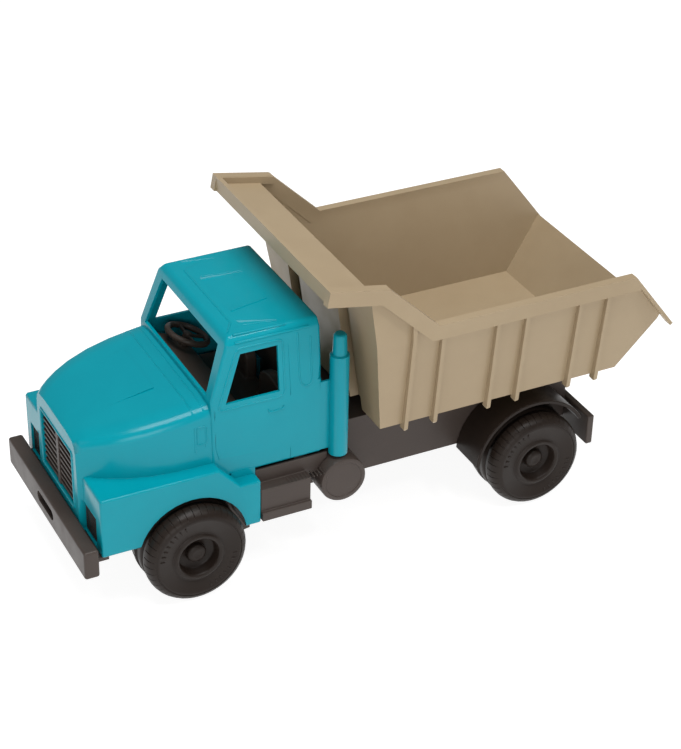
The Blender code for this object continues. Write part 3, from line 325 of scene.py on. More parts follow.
def bead(name, points, radius, closed=False):
    """A round bead along a line of points; sunk to half, it is a raised line of the mould."""
    curve = bpy.data.curves.new(name, "CURVE")
    curve.dimensions = "3D"
    curve.bevel_depth = radius
    curve.bevel_resolution = 2
    curve.use_fill_caps = True
    spline = curve.splines.new("POLY")
    spline.points.add(len(points) - 1)
    for point, place in zip(spline.points, points):
        point.co = (*place, 1.0)
    spline.use_cyclic_u = closed
    made = bpy.data.objects.new(name, curve)
    bpy.context.scene.collection.objects.link(made)
    made = settled(made)
    bm = bmesh.new()
    bm.from_mesh(made.data)
    bmesh.ops.remove_doubles(bm, verts=bm.verts, dist=1e-6)
    bmesh.ops.recalc_face_normals(bm, faces=bm.faces)
    bm.to_mesh(made.data)
    bm.free()
    return smooth(made, 60)


def merged(name, *parts):
    """Several meshes kept together as one piece."""
    bm = bmesh.new()
    for part in parts:
        bm.from_mesh(part.data)
        bpy.data.objects.remove(part, do_unlink=True)
    mesh = bpy.data.meshes.new(name)
    bm.to_mesh(mesh)
    bm.free()
    made = bpy.data.objects.new(name, mesh)
    bpy.context.scene.collection.objects.link(made)
    return made


def carve(obj, *cutters):
    for cutter in cutters:
        modifier = obj.modifiers.new("carve", "BOOLEAN")
        modifier.operation = "DIFFERENCE"
        modifier.solver = "EXACT"
        modifier.object = cutter
        settled(obj)
        bpy.data.objects.remove(cutter, do_unlink=True)
    return obj


def dress(obj, body, finish, slot, *stands_for):
    """Give a finished piece its plastic and the body it rides on, and hide the CAD nodes it stands
    for.
    """
    obj.data.materials.clear()
    obj.data.materials.append(finish)
    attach(obj, body)
    if stands_for:
        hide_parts(*stands_for)
    return obj


# %% [markdown]
# ## Taking a moulding from the frame
# The frame's own solids have the right shape but knife-sharp edges. A copy is merged, its flat
# regions are joined into single faces, and then every edge is rounded, so the light runs along it.

# %% A rounded copy of a node
def from_node(node, name, width, segments=3, angle=28):
    bm = bmesh.new()
    bm.from_mesh(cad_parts[node].data)
    bmesh.ops.remove_doubles(bm, verts=bm.verts, dist=4e-6)
    bmesh.ops.dissolve_degenerate(bm, edges=bm.edges, dist=6e-6)
    bmesh.ops.dissolve_limit(bm, angle_limit=math.radians(0.25), verts=bm.verts, edges=bm.edges)
    mesh = bpy.data.meshes.new(name)
    bm.to_mesh(mesh)
    bm.free()
    made = bpy.data.objects.new(name, mesh)
    bpy.context.scene.collection.objects.link(made)
    return soften(made, width, segments, angle)


# %% [markdown]
# ## Things that repeat
# Tread lugs, sidewall marks, grille slats and step ribs are one small shape many times. A Geometry
# Nodes tree takes that shape as its input and sets it out round a ring or along a row; changing the
# count or the pitch is then one number.

# %% The two repeating trees
def repeating_tree(name, sockets):
    tree = bpy.data.node_groups.new(name, "GeometryNodeTree")
    tree.interface.new_socket("Geometry", in_out="INPUT", socket_type="NodeSocketGeometry")
    for label, kind in sockets:
        tree.interface.new_socket(label, in_out="INPUT", socket_type=kind)
    tree.interface.new_socket("Finish", in_out="INPUT", socket_type="NodeSocketMaterial")
    tree.interface.new_socket("Geometry", in_out="OUTPUT", socket_type="NodeSocketGeometry")
    bench = Bench(tree)
    start = tree.nodes.new("NodeGroupInput")
    wires = {socket.name: Wire(bench, socket) for socket in start.outputs if socket.name}
    return tree, bench, wires


def close_tree(tree, bench, instances, finish):
    real = bench.node("GeometryNodeRealizeInstances", {}, {0: instances})
    dressed = bench.node("GeometryNodeSetMaterial", {}, {"Geometry": real, "Material": finish})
    end = tree.nodes.new("NodeGroupOutput")
    bench.connect(dressed, end.inputs[0])
    return tree


def ring_tree():
    sockets = [("Count", "NodeSocketInt"), ("Arc", "NodeSocketFloat")]
    tree, bench, wires = repeating_tree("set out round a ring", sockets)
    points = bench.node("GeometryNodePoints", {}, {"Count": wires["Count"]})
    index = bench.node("GeometryNodeInputIndex")
    turn = bench.node("ShaderNodeCombineXYZ", {}, {"Y": index * wires["Arc"] / wires["Count"]})
    spin = bench.node("FunctionNodeEulerToRotation", {}, {0: turn})
    inputs = {"Points": points, "Instance": wires["Geometry"], "Rotation": spin}
    copies = bench.node("GeometryNodeInstanceOnPoints", {}, inputs)
    return close_tree(tree, bench, copies, wires["Finish"])


def row_tree():
    sockets = [("Count", "NodeSocketInt"), ("Pitch", "NodeSocketVector")]
    tree, bench, wires = repeating_tree("set out along a row", sockets)
    steps = {"Count": wires["Count"], "Offset": wires["Pitch"]}
    line = bench.node("GeometryNodeMeshLine", {"mode": "OFFSET"}, steps)
    inputs = {"Points": line, "Instance": wires["Geometry"]}
    copies = bench.node("GeometryNodeInstanceOnPoints", {}, inputs)
    return close_tree(tree, bench, copies, wires["Finish"])


RING = ring_tree()
ROW = row_tree()


# %% Running a tree on a shape
def repeated(obj, tree, values):
    """Set the tree's inputs by their identifiers, run it on the shape, and keep the plain mesh."""
    modifier = obj.modifiers.new("repeat", "NODES")
    modifier.node_group = tree
    for item in tree.interface.items_tree:
        if item.item_type == "SOCKET" and item.in_out == "INPUT" and item.name in values:
            modifier[item.identifier] = values[item.name]
    made = settled(obj)
    print(made.name, "faces", len(made.data.polygons))
    return made


# %% [markdown]
# ## Cab and bonnet
# One injection moulding makes the cab, the bonnet, both front wings and the exhaust stack. The
# rounded copy gives its shape. Door seams are shallow grooves, so they are carved with a thin bead.
# The raised lines are beads sunk to half their thickness, which is what a scribed mould leaves.

# %% Where the cab's surfaces lie
cab_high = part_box("cab_shell")[1]
front_low, front_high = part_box("wheel_front_left")
AXLE_X = (front_low.x + front_high.x) / 2
TYRE_R = (front_high.z - front_low.z) / 2
CAB_BACK = AXLE_X - 0.1204
COWL = CAB_BACK + 0.098
HOOD_FRONT = cab_high.x
ROOF = cab_high.z
skin = bmesh.new()
skin.from_mesh(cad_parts["cab_shell"].data)
CAB_SKIN = BVHTree.FromBMesh(skin)
skin.free()
# A look onto the skin starts well outside it: above the roof, or beside a door.
ABOVE = 0.30
BESIDE = 0.15
print("cab from", round(CAB_BACK, 4), "to", round(HOOD_FRONT, 4), "roof at", round(ROOF, 4))


def look_onto(start, ahead, out=0.0):
    """Where a straight look meets the cab's skin, and a little out of it again."""
    place = CAB_SKIN.ray_cast(Vector(start), Vector(ahead))[0]
    return tuple(place - Vector(ahead) * out)


def on_door(points, side, out=0.0):
    return [look_onto((x, side * BESIDE, z), (0, -side, 0), out) for x, z in points]


def on_top(points, out=0.0):
    return [look_onto((x, y, ABOVE), (0, 0, -1), out) for x, y in points]


def spaced(points, step=0.002):
    """The line with points added, so that it can follow a curved skin."""
    done = [points[0]]
    for a, b in zip(points, points[1:]):
        a, b = Vector(a), Vector(b)
        count = max(1, round((b - a).length / step))
        done += [tuple(a.lerp(b, (i + 1) / count)) for i in range(count)]
    return done


# %% The roof's recess, notches and brim
def wedge(*corners):
    """A cutter over a plan outline, with its own depth below the roof's skin at each corner."""
    low = [look_onto((x, y, ABOVE), (0, 0, -1), -depth) for x, y, depth in corners]
    return loft("wedge", [low, [(x, y, ROOF + 0.004) for x, y, _ in corners]])


def roof_cutters():
    middle_front = ((0.1112, 0.0292, 0.0018), (0.1112, -0.0298, 0.0018))
    middle_back = ((0.0745, -0.0250, 0.0003), (0.0745, 0.0222, 0.0003))
    middle = wedge(*middle_front, *middle_back)
    left = wedge((0.1125, 0.0455, 0.0018), (0.1115, 0.0530, 0.0018), (0.0820, 0.0580, 0.0001))
    right = wedge((0.1165, -0.0470, 0.0014), (0.1140, -0.0620, 0.0013), (0.0868, -0.0556, 0.0002))
    return middle, left, right


# %% The moulding with its seams
cab = from_node("cab_shell", "cab_moulding", 0.0011, 3, 50)
carve(cab, *roof_cutters())
DOOR_FRONT = COWL - 0.0032
DOOR_BACK = CAB_BACK + 0.0285
front_seam = [(DOOR_FRONT, 0.163), (DOOR_FRONT, 0.127), (DOOR_FRONT - 0.0026, 0.1165)]
back_seam = [(DOOR_BACK + 0.0005, 0.206), (DOOR_BACK, 0.166), (DOOR_BACK, 0.1000)]
for side in (1, -1):
    carve(cab, bead("seam", on_door(front_seam, side), 0.0004))
    carve(cab, bead("seam", on_door(back_seam, side), 0.0004))
even(cab)
dress(cab, "chassis", TEAL, "cab", "cab_shell")
print("cab faces", len(cab.data.polygons))


# %% [markdown]
# ## Raised lines of the cab
# The mould scribes a frame round each side window, a curl behind the door and a handle. Each is a
# bead laid on the door's own skin, so only its crown stands out of the surface.

# %% Window frames, curls and handles
def rounded(points, radius, steps=5):
    """A closed outline with its corners rounded."""
    done = []
    count = len(points)
    for i in range(count):
        before, here, after = (Vector(points[(i + k) % count]) for k in (-1, 0, 1))
        a = here + (before - here).normalized() * radius
        b = here + (after - here).normalized() * radius
        for k in range(steps + 1):
            t = k / steps
            done.append(tuple(a.lerp(here, t).lerp(here.lerp(b, t), t)))
    return done


window = [(0.0835, 0.1612), (0.1425, 0.1612), (0.1237, 0.2118), (0.0835, 0.2118)]
curl = [(0.0705, 0.2135), (0.0700, 0.1760), (0.0690, 0.1690), (0.0660, 0.1655), (0.0625, 0.1650)]
curl += [(0.0602, 0.1668), (0.0592, 0.1700), (0.0592, 0.2080)]
handle = [(0.0850, 0.1522), (0.0850, 0.1502), (0.0862, 0.1496), (0.0975, 0.1496), (0.0985, 0.1522)]
for side, hand in ((1, "left"), (-1, "right")):
    outline = on_door(rounded(window, 0.0055), side, -0.0003)
    dress(bead(f"window_frame_{hand}", outline, 0.0009, True), "chassis", TEAL, "cab")
    dress(bead(f"door_curl_{hand}", on_door(curl, side, -0.0003), 0.0009), "chassis", TEAL, "cab")
    dress(bead(f"door_handle_{hand}", on_door(handle, side), 0.0008), "chassis", TEAL, "cab")


# %% [markdown]
# ## Bonnet details
# A shallow panel rises towards the windscreen in the middle of the bonnet, two lines cross it at
# the scuttle, and each flank has a small framed vent. The panel is a patch laid on the bonnet's
# own skin: it comes out of it slowly at the front and stands a millimetre above it at the back.

# %% Bonnet panel
def panel_patch(name, x_range, near_range, far_range, rise, steps=24, across=18):
    """A raised patch of the bonnet whose borders run down below the skin."""
    rings = []
    for i in range(steps + 1):
        t = i / steps
        x = x_range[0] + (x_range[1] - x_range[0]) * min(t * steps / (steps - 1), 1.0)
        near, far = (side[0] + (side[1] - side[0]) * t for side in (near_range, far_range))
        height = -0.0008 if i in (0, steps) else rise * t**1.5 - 0.0002
        upper = []
        for k in range(across + 1):
            share = (min(max(k - 1, 0), across - 2)) / (across - 2)
            y = near + (far - near) * share
            sunk = k in (0, across) or i in (0, steps)
            upper.append(on_top([(x, y)], -0.0008 if sunk else height)[0])
        lower = [(x, y, z - 0.0010) for x, y, z in reversed(upper)]
        rings.append(upper + lower)
    return smooth(loft(name, rings), 60)


panel = panel_patch("bonnet_panel", (0.2300, 0.1760), (0.0235, 0.0245), (-0.0290, -0.0410), 0.0014)
dress(panel, "chassis", TEAL, "cab")


# %% Scuttle lines and vents
SUNK = 0.0004


def across_hood(x, low):
    """A line over the bonnet at a station, from one flank over the top to the other."""
    flank = [(x, low + (0.150 - low) * i / 6) for i in range(7)]
    top = [(x, 0.0700 - 0.1400 * i / 36) for i in range(37)]
    far_flank = list(reversed(on_door(flank, -1, -SUNK)))
    return on_door(flank, 1, -SUNK) + on_top(top, -SUNK) + far_flank


dress(bead("scuttle_line", across_hood(0.1615, 0.128), 0.0009), "chassis", TEAL, "cab")
dress(bead("scuttle_line_rear", across_hood(0.1525, 0.131), 0.0008), "chassis", TEAL, "cab")
vent_corners = [(0.1515, 0.1345), (0.1595, 0.1345), (0.1595, 0.1505), (0.1515, 0.1505)]
for side, hand in ((1, "left"), (-1, "right")):
    outline = rounded(vent_corners, 0.0018)
    vent = bead(f"bonnet_vent_{hand}", on_door(outline, side), 0.0005, True)
    dress(vent, "chassis", TEAL, "cab")

# %% [markdown]
# ## Roof rails
# A gutter runs back along each edge of the roof, with a second rail beside it on the left. Fine
# beads edge the recess and the left notch, and a brim crosses the front. Each is a bead along a
# line of the roof's own skin, so that it follows the roof's curve.

# %% Rails and beads of the roof
def roof_line(name, ends, radius, out):
    dress(bead(name, on_top(spaced(ends), out), radius), "chassis", TEAL, "cab")


roof_line("roof_rail_left", [(0.1240, 0.0646), (0.0790, 0.0652)], 0.0010, 0.0001)
for side, hand in ((1, "left"), (-1, "right")):
    gutter = [(0.1240, side * 0.0690), (0.0600, side * 0.0690)]
    roof_line(f"roof_gutter_{hand}", gutter, 0.0010, 0.0001)
roof_line("notch_bead_left", [(0.1110, 0.0540), (0.0840, 0.0588)], 0.0006, 0.0)
roof_line("recess_bead_left", [(0.1100, 0.0304), (0.0760, 0.0234)], 0.0008, 0.0)
roof_line("recess_bead_right", [(0.1100, -0.0310), (0.0760, -0.0262)], 0.0006, 0.0)
brim = spaced([(0.1262, 0.0600), (0.1180, 0.0470), (0.1180, -0.0460)])
roof_line("roof_brim", brim, 0.0011, -0.0004)

# %% [markdown]
# ## Grille and lamps
# The grille is a dark insert of thin slats with black gaps. One slat is drawn and the row tree
# repeats it. A plain upright bar crosses the middle. The lamps are smoked blocks with fine flutes.

# %% Slats, bar and backing
grille_low, grille_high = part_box("grille")
mouth = (grille_low.z + 0.003, grille_high.z - 0.003)
SLATS = 9
pitch = (mouth[1] - mouth[0]) / SLATS
slat_half = (grille_high.y - grille_low.y) / 2 - 0.0034
face = HOOD_FRONT - 0.0012
slat_z = (mouth[0] + pitch * 0.28, mouth[0] + pitch * 0.66)
slat = slab("grille_slats", (face - 0.0042, face), (-slat_half, slat_half), slat_z)
soften(slat, 0.0003, 2)
slats = repeated(slat, ROW, {"Count": SLATS, "Pitch": (0.0, 0.0, pitch), "Finish": GREY})
dress(slats, "chassis", GREY, "trim")
back_x = (grille_low.x, grille_low.x + 0.0018)
back = slab("grille_back", back_x, (grille_low.y, grille_high.y), (grille_low.z, grille_high.z))
back = soften(back, 0.0003)
dress(back, "chassis", INSIDE, "trim", "grille")
bar_x = (grille_low.x + 0.001, HOOD_FRONT - 0.0004)
bar = slab("grille_bar", bar_x, (-0.0028, 0.0028), (mouth[0] + 0.0003, mouth[1] - 0.0003))
dress(soften(bar, 0.0006), "chassis", GREY, "trim")
half_y = slat_half + 0.0016
edge = [(-half_y, mouth[0] - 0.0012), (half_y, mouth[0] - 0.0012)]
edge += [(half_y, mouth[1] + 0.0012), (-half_y, mouth[1] + 0.0012)]
surround = [(HOOD_FRONT - 0.0004, y, z) for y, z in rounded(edge, 0.0018)]
dress(bead("grille_surround", surround, 0.0013, True), "chassis", TEAL, "cab")

# %% Lamps
FLUTES = 11
FLUTE_PITCH = 0.00225
for hand in ("left", "right"):
    low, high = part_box(f"headlight_{hand}")
    block = slab(f"lamp_{hand}", (low.x, high.x - 0.0022), (low.y, high.y), (low.z, high.z))
    body = soften(block, 0.0003)
    inner = (low.y + 0.0022, high.y - 0.0022)
    flute_z = (low.z + 0.0030, low.z + 0.0042)
    flute = slab("flute", (high.x - 0.0030, high.x - 0.0010), inner, flute_z)
    soften(flute, 0.0004, 2)
    row = {"Count": FLUTES, "Pitch": (0.0, 0.0, FLUTE_PITCH), "Finish": LAMP}
    flutes = repeated(flute, ROW, row)
    rim = [(inner[0], low.z + 0.0024), (inner[1], low.z + 0.0024)]
    rim += [(inner[1], high.z - 0.0024), (inner[0], high.z - 0.0024)]
    ring = bead("ring", [(high.x - 0.0016, y, z) for y, z in rounded(rim, 0.002)], 0.0009, True)
    lamp = merged(f"headlamp_{hand}", body, flutes, ring)
    dress(smooth(lamp), "chassis", LAMP, "trim", f"headlight_{hand}")

# %% [markdown]
# ## Tipping bed
# The bed is one tan tub with ribs, a deep rim and a shield over the cab. The frame's solid has all
# of them, so a rounded copy is enough and nothing is added to it.

# %% Bed
bed = from_node("dump_body", "bed_moulding", 0.0009)
smooth(bed, 40)
dress(bed, "dump_bed", TAN, "bed", "dump_body")
print("bed faces", len(bed.data.polygons))

# %% [markdown]
# ## Chassis, bumper, steps and guards
# These are the dark mouldings. Each keeps its own shape with rounded edges. The footsteps get rows
# of ribs, the rear guards a beaded edge and the tanks a groove, and a flat web stands behind each
# front wheel. The rear guards take the tyres' darker plastic as painted shade from the bed above.

# %% Rounded dark mouldings
DARK_PIECES = (
    ("chassis_frame", "chassis_moulding", 0.0006),
    ("front_bumper", "bumper", 0.0008),
    ("rear_crossbar", "tail_bar", 0.0006),
    ("step_left", "footstep_left", 0.0007),
    ("step_right", "footstep_right", 0.0007),
    ("mudguard_left", "guard_left", 0.0008),
    ("mudguard_right", "guard_right", 0.0008),
    ("wheel_arch_liner_left", "liner_left", 0.0005),
    ("wheel_arch_liner_right", "liner_right", 0.0005),
    ("axle_keeper_front", "keeper_front", 0.0003),
    ("axle_keeper_rear", "keeper_rear", 0.0003),
)
for node, name, width in DARK_PIECES:
    # The rear guards take the tyres' darker plastic: painted shade, for the bed above shades them.
    finish = TYRE_AND_GUARD_SHADE if node.startswith("mudguard") else GREY
    dress(smooth(from_node(node, name, width), 40), "chassis", finish, "trim", node)

# %% Guard edges
rear_low, rear_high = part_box("wheel_rear_left")
REAR_AXLE_X = (rear_low.x + rear_high.x) / 2
EDGE_R = 0.0013
for side, hand in ((1, "left"), (-1, "right")):
    low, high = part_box(f"mudguard_{hand}")
    reach = high.z - TYRE_R - EDGE_R
    outer = high.y - EDGE_R if side > 0 else low.y + EDGE_R
    turns = [math.radians(5 + 144 * i / 48) for i in range(49)]
    rim = [(REAR_AXLE_X + reach * math.cos(t), outer, TYRE_R + reach * math.sin(t)) for t in turns]
    # The edge bead keeps the grey plastic of the other trim; beside the guards' painted shade, that
    # lighter grey also stands for their lit lip as a painted highlight.
    dress(bead(f"guard_edge_{hand}", rim, EDGE_R), "chassis", GREY, "trim")

# %% Splash webs
# A flat web closes the back of each front wheel's arch beside the rail.
WEB_Y = (0.0540, 0.0565)
WEB_BACK = 0.0640
for side, hand in ((1, "left"), (-1, "right")):
    reach = TYRE_R + 0.0012
    turns = [math.radians(150 + 60 * i / 12) for i in range(13)]
    inner = [(AXLE_X + reach * math.cos(t), TYRE_R + reach * math.sin(t)) for t in turns]
    outline = inner + [(AXLE_X - WEB_BACK, 0.0250), (AXLE_X - WEB_BACK, 0.0680)]
    rings = [[(x, side * y, z) for x, z in outline] for y in WEB_Y]
    web = soften(loft(f"splash_web_{hand}", rings), 0.0005)
    dress(web, "chassis", GREY, "trim")

# %% Step ribs and tanks
RIBS = 12
RIB_PITCH = 0.0031
for side, hand in ((1, "left"), (-1, "right")):
    low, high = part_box(f"step_{hand}")
    outer = high.y if side > 0 else low.y
    tread_y = sorted((outer - side * 0.0030, outer - side * 0.0120))
    rib = slab(f"step_ribs_{hand}", (low.x + 0.004, low.x + 0.0052), tread_y, (0.0825, 0.0835))
    soften(rib, 0.0003, 2)
    ribs = repeated(rib, ROW, {"Count": RIBS, "Pitch": (RIB_PITCH, 0.0, 0.0), "Finish": GREY})
    dress(ribs, "chassis", GREY, "trim")
    low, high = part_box(f"fuel_tank_{hand}")
    radius = (high.z - low.z) / 2
    width = high.y - low.y
    profile = [(0.0, 0.0), (0.0, radius), (width * 0.55, radius), (width * 0.555, radius - 0.0006)]
    profile += [(width * 0.575, radius - 0.0006), (width * 0.58, radius), (width - 0.0018, radius)]
    profile += [(width - 0.0006, radius - 0.0005), (width, radius - 0.0018)]
    profile += [(width, radius - 0.0038)]
    profile += [(width - 0.0007, radius - 0.0044), (width - 0.0007, 0.0)]
    tank = turned(f"tank_{hand}", profile, 72)
    tank.data.transform(Matrix.Translation(((low.x + high.x) / 2, low.y, (low.z + high.z) / 2)))
    if side < 0:
        tank.data.transform(Matrix.Translation((0, low.y + high.y, 0)) @ MIRROR)
        tank.data.flip_normals()
    dress(smooth(tank, 35), "chassis", GREY, "trim", f"fuel_tank_{hand}")

# %% [markdown]
# ## Cab interior
# Through the windows you see a dark bench seat, a plain sloping dashboard, and a thick steering
# wheel. The wheel's rim is a bead bent into a ring, with three spokes and a boss.

# %% Seat, dashboard and dark back panel
seat = from_node("seat_bench", "bench_seat", 0.0020)
dress(seat, "chassis", INSIDE, "trim", "seat_bench")
dash = from_node("dashboard", "dash_panel", 0.0016)
dress(dash, "chassis", INSIDE, "trim", "dashboard")
seat_low, seat_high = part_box("seat_bench")
# A dark panel stands inside the rear wall, below the rear window, and keeps the cab's inside dark
# through the side windows.
dark_panel_x = (CAB_BACK + 0.0032, CAB_BACK + 0.0052)
dark_panel_z = (seat_low.z + 0.001, 0.1700)
dark_panel = slab("cab_lining", dark_panel_x, (seat_low.y, seat_high.y), dark_panel_z)
dress(soften(dark_panel, 0.0008), "chassis", INSIDE, "trim")


# %% Steering wheel
def steering():
    low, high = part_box("steering_wheel")
    lean = math.radians(22)
    tube = 0.0028
    reach = (high.y - low.y) / 2 - tube
    centre_x = high.x - reach * math.cos(lean) - tube
    centre_z = high.z - reach * math.sin(lean) - tube
    centre = Vector((centre_x, (low.y + high.y) / 2, centre_z))
    turns = [math.tau * i / 48 for i in range(48)]
    ring = [(reach * math.cos(t), reach * math.sin(t), 0.0) for t in turns]
    parts = [bead("rim", ring, tube, True)]
    for turn in (0.25, 0.75, 0.5):
        t = math.tau * turn
        spoke = [(0, 0, -0.0008), (reach * math.cos(t), reach * math.sin(t), 0.0)]
        parts.append(bead("spoke", spoke, 0.0016))
    profile = [(-0.0096, 0.0), (-0.0096, 0.0040), (0.0006, 0.0042), (0.0020, 0.0036)]
    profile += [(0.0024, 0.0026), (0.0024, 0.0)]
    parts.append(turned("boss", profile, 32, "Z"))
    wheel = merged("steering_ring", *parts)
    wheel.data.transform(Matrix.Translation(centre) @ Matrix.Rotation(-lean, 4, "Y"))
    return smooth(wheel, 45)


dress(steering(), "chassis", INSIDE, "trim", "steering_wheel")

# %% [markdown]
# ## Wheels
# Each wheel is one hollow moulding made to look like a tyre: a turned body with a deep dished rim,
# a ring of tread lugs on each shoulder, and small raised marks on the sidewall. The lugs and marks
# are a single shape that the ring tree sets out; the marks are plain bars, not letters.

# %% One wheel
WIDTH = front_high.y - front_low.y
INNER_Y = front_low.y
RIM_R = 0.0171
LUGS = 42

# Each row of marks: the arc it fills, where it starts, how many bars, and their two radii.
MARKS = (
    (1.25, 0.35, 8, 0.0300, 0.0334),
    (1.25, 3.45, 8, 0.0300, 0.0334),
)


def tyre_profile():
    """The closed half section: round the hollow, out over the tread, and back down the dish."""
    r = TYRE_R
    w = WIDTH
    floor = w - 0.0100
    return [
        (0.0040, 0.0030),
        (0.0040, 0.0094),
        (floor - 0.0030, 0.0094),
        (floor - 0.0030, r - 0.0090),
        (0.0, r - 0.0070),
        (0.0, r - 0.0022),
        (0.0010, r - 0.0012),
        (0.0030, r - 0.0009),
        (w * 0.34, r - 0.0007),
        (w * 0.35, r - 0.0018),
        (w * 0.38, r - 0.0018),
        (w * 0.39, r - 0.0007),
        (w * 0.60, r - 0.0007),
        (w * 0.61, r - 0.0018),
        (w * 0.64, r - 0.0018),
        (w * 0.65, r - 0.0007),
        (w - 0.0088, r - 0.0007),
        (w - 0.0060, r - 0.0013),
        (w - 0.0034, r - 0.0028),
        (w - 0.0016, r - 0.0048),
        (w - 0.0006, r - 0.0072),
        (w - 0.0003, r - 0.0090),
        (w - 0.0008, r - 0.0096),
        (w - 0.0009, 0.0242),
        (w - 0.0014, 0.0236),
        (w - 0.0016, 0.0227),
        (w - 0.0014, 0.0218),
        (w - 0.0005, 0.0212),
        (w - 0.0001, 0.0206),
        (w - 0.0001, 0.0186),
        (w - 0.0008, RIM_R + 0.0005),
        (w - 0.0020, RIM_R),
        (floor + 0.0014, RIM_R - 0.0006),
        (floor, RIM_R - 0.0018),
        (floor, 0.0030),
    ]


def lug_shape(name, inner, outer):
    """One block of tread on a shoulder; it wraps from the tread a little way down the side."""
    r = TYRE_R
    half = 0.0030
    section = [(inner, r - 0.0022), (inner, r - 0.0001), (outer - 0.0088, r - 0.0001)]
    section += [(outer - 0.0058, r - 0.0008), (outer - 0.0030, r - 0.0023)]
    section += [(outer - 0.0011, r - 0.0045), (outer - 0.0003, r - 0.0066)]
    section += [(outer - 0.0026, r - 0.0064)]
    rings = [[(x, y, z) for y, z in section] for x in (-half, half)]
    return soften(loft(name, rings), 0.0004, 2, 50)


def wheel_parts(hand, end, x, body):
    parts = [turned("tyre", tyre_profile(), 112)]
    lugs = lug_shape("lug", WIDTH * 0.715, WIDTH)
    ring = {"Count": LUGS, "Arc": math.tau, "Finish": TYRE_AND_GUARD_SHADE}
    parts.append(repeated(lugs, RING, ring))
    inner = lug_shape("inner_lug", WIDTH * 0.715, WIDTH)
    inner.data.transform(Matrix.Translation((0, WIDTH + 0.0002, 0)) @ MIRROR)
    inner.data.flip_normals()
    parts.append(repeated(inner, RING, ring))
    for arc, start, count, low, high in MARKS:
        bar = slab("mark", (-0.0006, 0.0006), (WIDTH - 0.0014, WIDTH - 0.0003), (low, high))
        bar = soften(bar, 0.0002, 2)
        bar.data.transform(Matrix.Rotation(start, 4, "Y"))
        parts.append(repeated(bar, RING, {"Count": count, "Arc": arc, "Finish": TYRE_AND_GUARD_SHADE}))
    wheel = merged(f"tyre_{end}_{hand}", *parts)
    place = Matrix.Translation((x, INNER_Y, TYRE_R))
    if hand == "right":
        wheel.data.transform(MIRROR)
        wheel.data.flip_normals()
        place = Matrix.Translation((x, -INNER_Y, TYRE_R))
    wheel.data.transform(place)
    return dress(smooth(wheel, 38), body, TYRE_AND_GUARD_SHADE, "tyres", f"wheel_{end}_{hand}")


# %% Hub caps
def hub(hand, end, x, body):
    low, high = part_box(f"hub_cap_{end}_{hand}")
    depth = high.y - low.y
    r = (high.z - low.z) / 2
    profile = [(0.0, 0.0), (0.0, r), (0.0028, r), (0.0036, r - 0.0004), (0.0046, r - 0.0016)]
    profile += [(depth - 0.0002, r - 0.0034), (depth, r - 0.0042)]
    profile += [(depth - 0.0003, r - 0.0050), (depth - 0.0006, 0.0)]
    cap = turned(f"hub_{end}_{hand}", profile, 64)
    if hand == "right":
        cap.data.transform(MIRROR)
        cap.data.flip_normals()
    seat_y = low.y if hand == "left" else high.y
    cap.data.transform(Matrix.Translation((x, seat_y, TYRE_R)))
    return dress(smooth(cap, 40), body, TYRE_AND_GUARD_SHADE, "trim", f"hub_cap_{end}_{hand}")


for end in ("front", "rear"):
    low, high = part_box(f"wheel_{end}_left")
    station = (low.x + high.x) / 2
    for hand in ("left", "right"):
        wheel_parts(hand, end, station, f"{end}_wheels")
        hub(hand, end, station, f"{end}_wheels")

# %% [markdown]
# ## Screws, axles and hinge pin
# Eight cross-head screws hold the moulding and the axle keepers from below. The head is turned,
# the cross is carved, and each screw stands where the frame has its node.

# %% Screws
def screw_at(node):
    low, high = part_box(node)
    centre = (low + high) / 2
    r = (high.x - low.x) / 2
    head = 0.0024
    shank = 0.0014
    profile = [(0.0, 0.0), (0.0, r - 0.0012), (0.0004, r - 0.0004), (0.0012, r), (head, r)]
    profile += [(head, shank), (head + 0.009, shank), (head + 0.0096, 0.0)]
    made = turned(node.replace("_screw_", "_fixing_"), profile, 32, "Z")
    for width in ((0.0022, 0.0004), (0.0004, 0.0022)):
        carve(made, slab("cross", (-width[0], width[0]), (-width[1], width[1]), (-0.001, 0.0011)))
    made.data.transform(Matrix.Translation((centre.x, centre.y, low.z)))
    return dress(smooth(made, 35), "chassis", STEEL, "steel", node)


screw_nodes = [node for node in sorted(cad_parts) if "_screw_" in node]
for node in screw_nodes:
    screw_at(node)
print("screws", len(screw_nodes))


# %% Axles and pin
def steel_rod(node, name, body, collar):
    low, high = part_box(node)
    centre = (low + high) / 2
    r = (high.z - low.z) / 2
    half = (high.y - low.y) / 2
    core = r - collar
    profile = [(-half, 0.0), (-half, r - 0.0004), (-half + 0.0004, r), (-half + 0.0011, r)]
    profile += [(-half + 0.0012, core)]
    profile += [(-along, radius) for along, radius in reversed(profile)]
    rod = turned(name, profile, 48)
    rod.data.transform(Matrix.Translation(centre))
    return dress(smooth(rod, 40), body, STEEL, "steel", node)


steel_rod("front_axle", "axle_rod_front", "front_wheels", 0.0)
steel_rod("rear_axle", "axle_rod_rear", "rear_wheels", 0.0)
steel_rod("bed_hinge_pin", "hinge_rod", "chassis", 0.001)

# %% [markdown]
# ## Floor, light and camera
# A pale floor and big soft lights show gloss without hard shadows. The camera stands high at the
# front left, where one sees into the bed, along the bonnet and onto the wheels.

# %% Floor
def floor_finish():
    made = bpy.data.materials.new("pale paper")
    made.use_nodes = True
    bench = Bench(made.node_tree)
    shader = made.node_tree.nodes["Principled BSDF"]
    where = bench.node("ShaderNodeTexCoord", output=3)
    fibre = bench.noise(where, 40.0, 3.0)
    paper = bench.mix(fibre, solid((0.32, 0.32, 0.32)), solid((0.34, 0.34, 0.34)))
    bench.connect(paper, shader.inputs["Base Color"])
    shader.inputs["Roughness"].default_value = 0.9
    shader.inputs["Emission Color"].default_value = (1.0, 1.0, 1.0, 1.0)
    shader.inputs["Emission Strength"].default_value = 0.90
    return made


FLOOR_HALF = 60.0
reach = (-FLOOR_HALF, FLOOR_HALF)
floor = slab("paper_floor", reach, reach, (-0.02, -0.0002))
floor.data.materials.append(floor_finish())


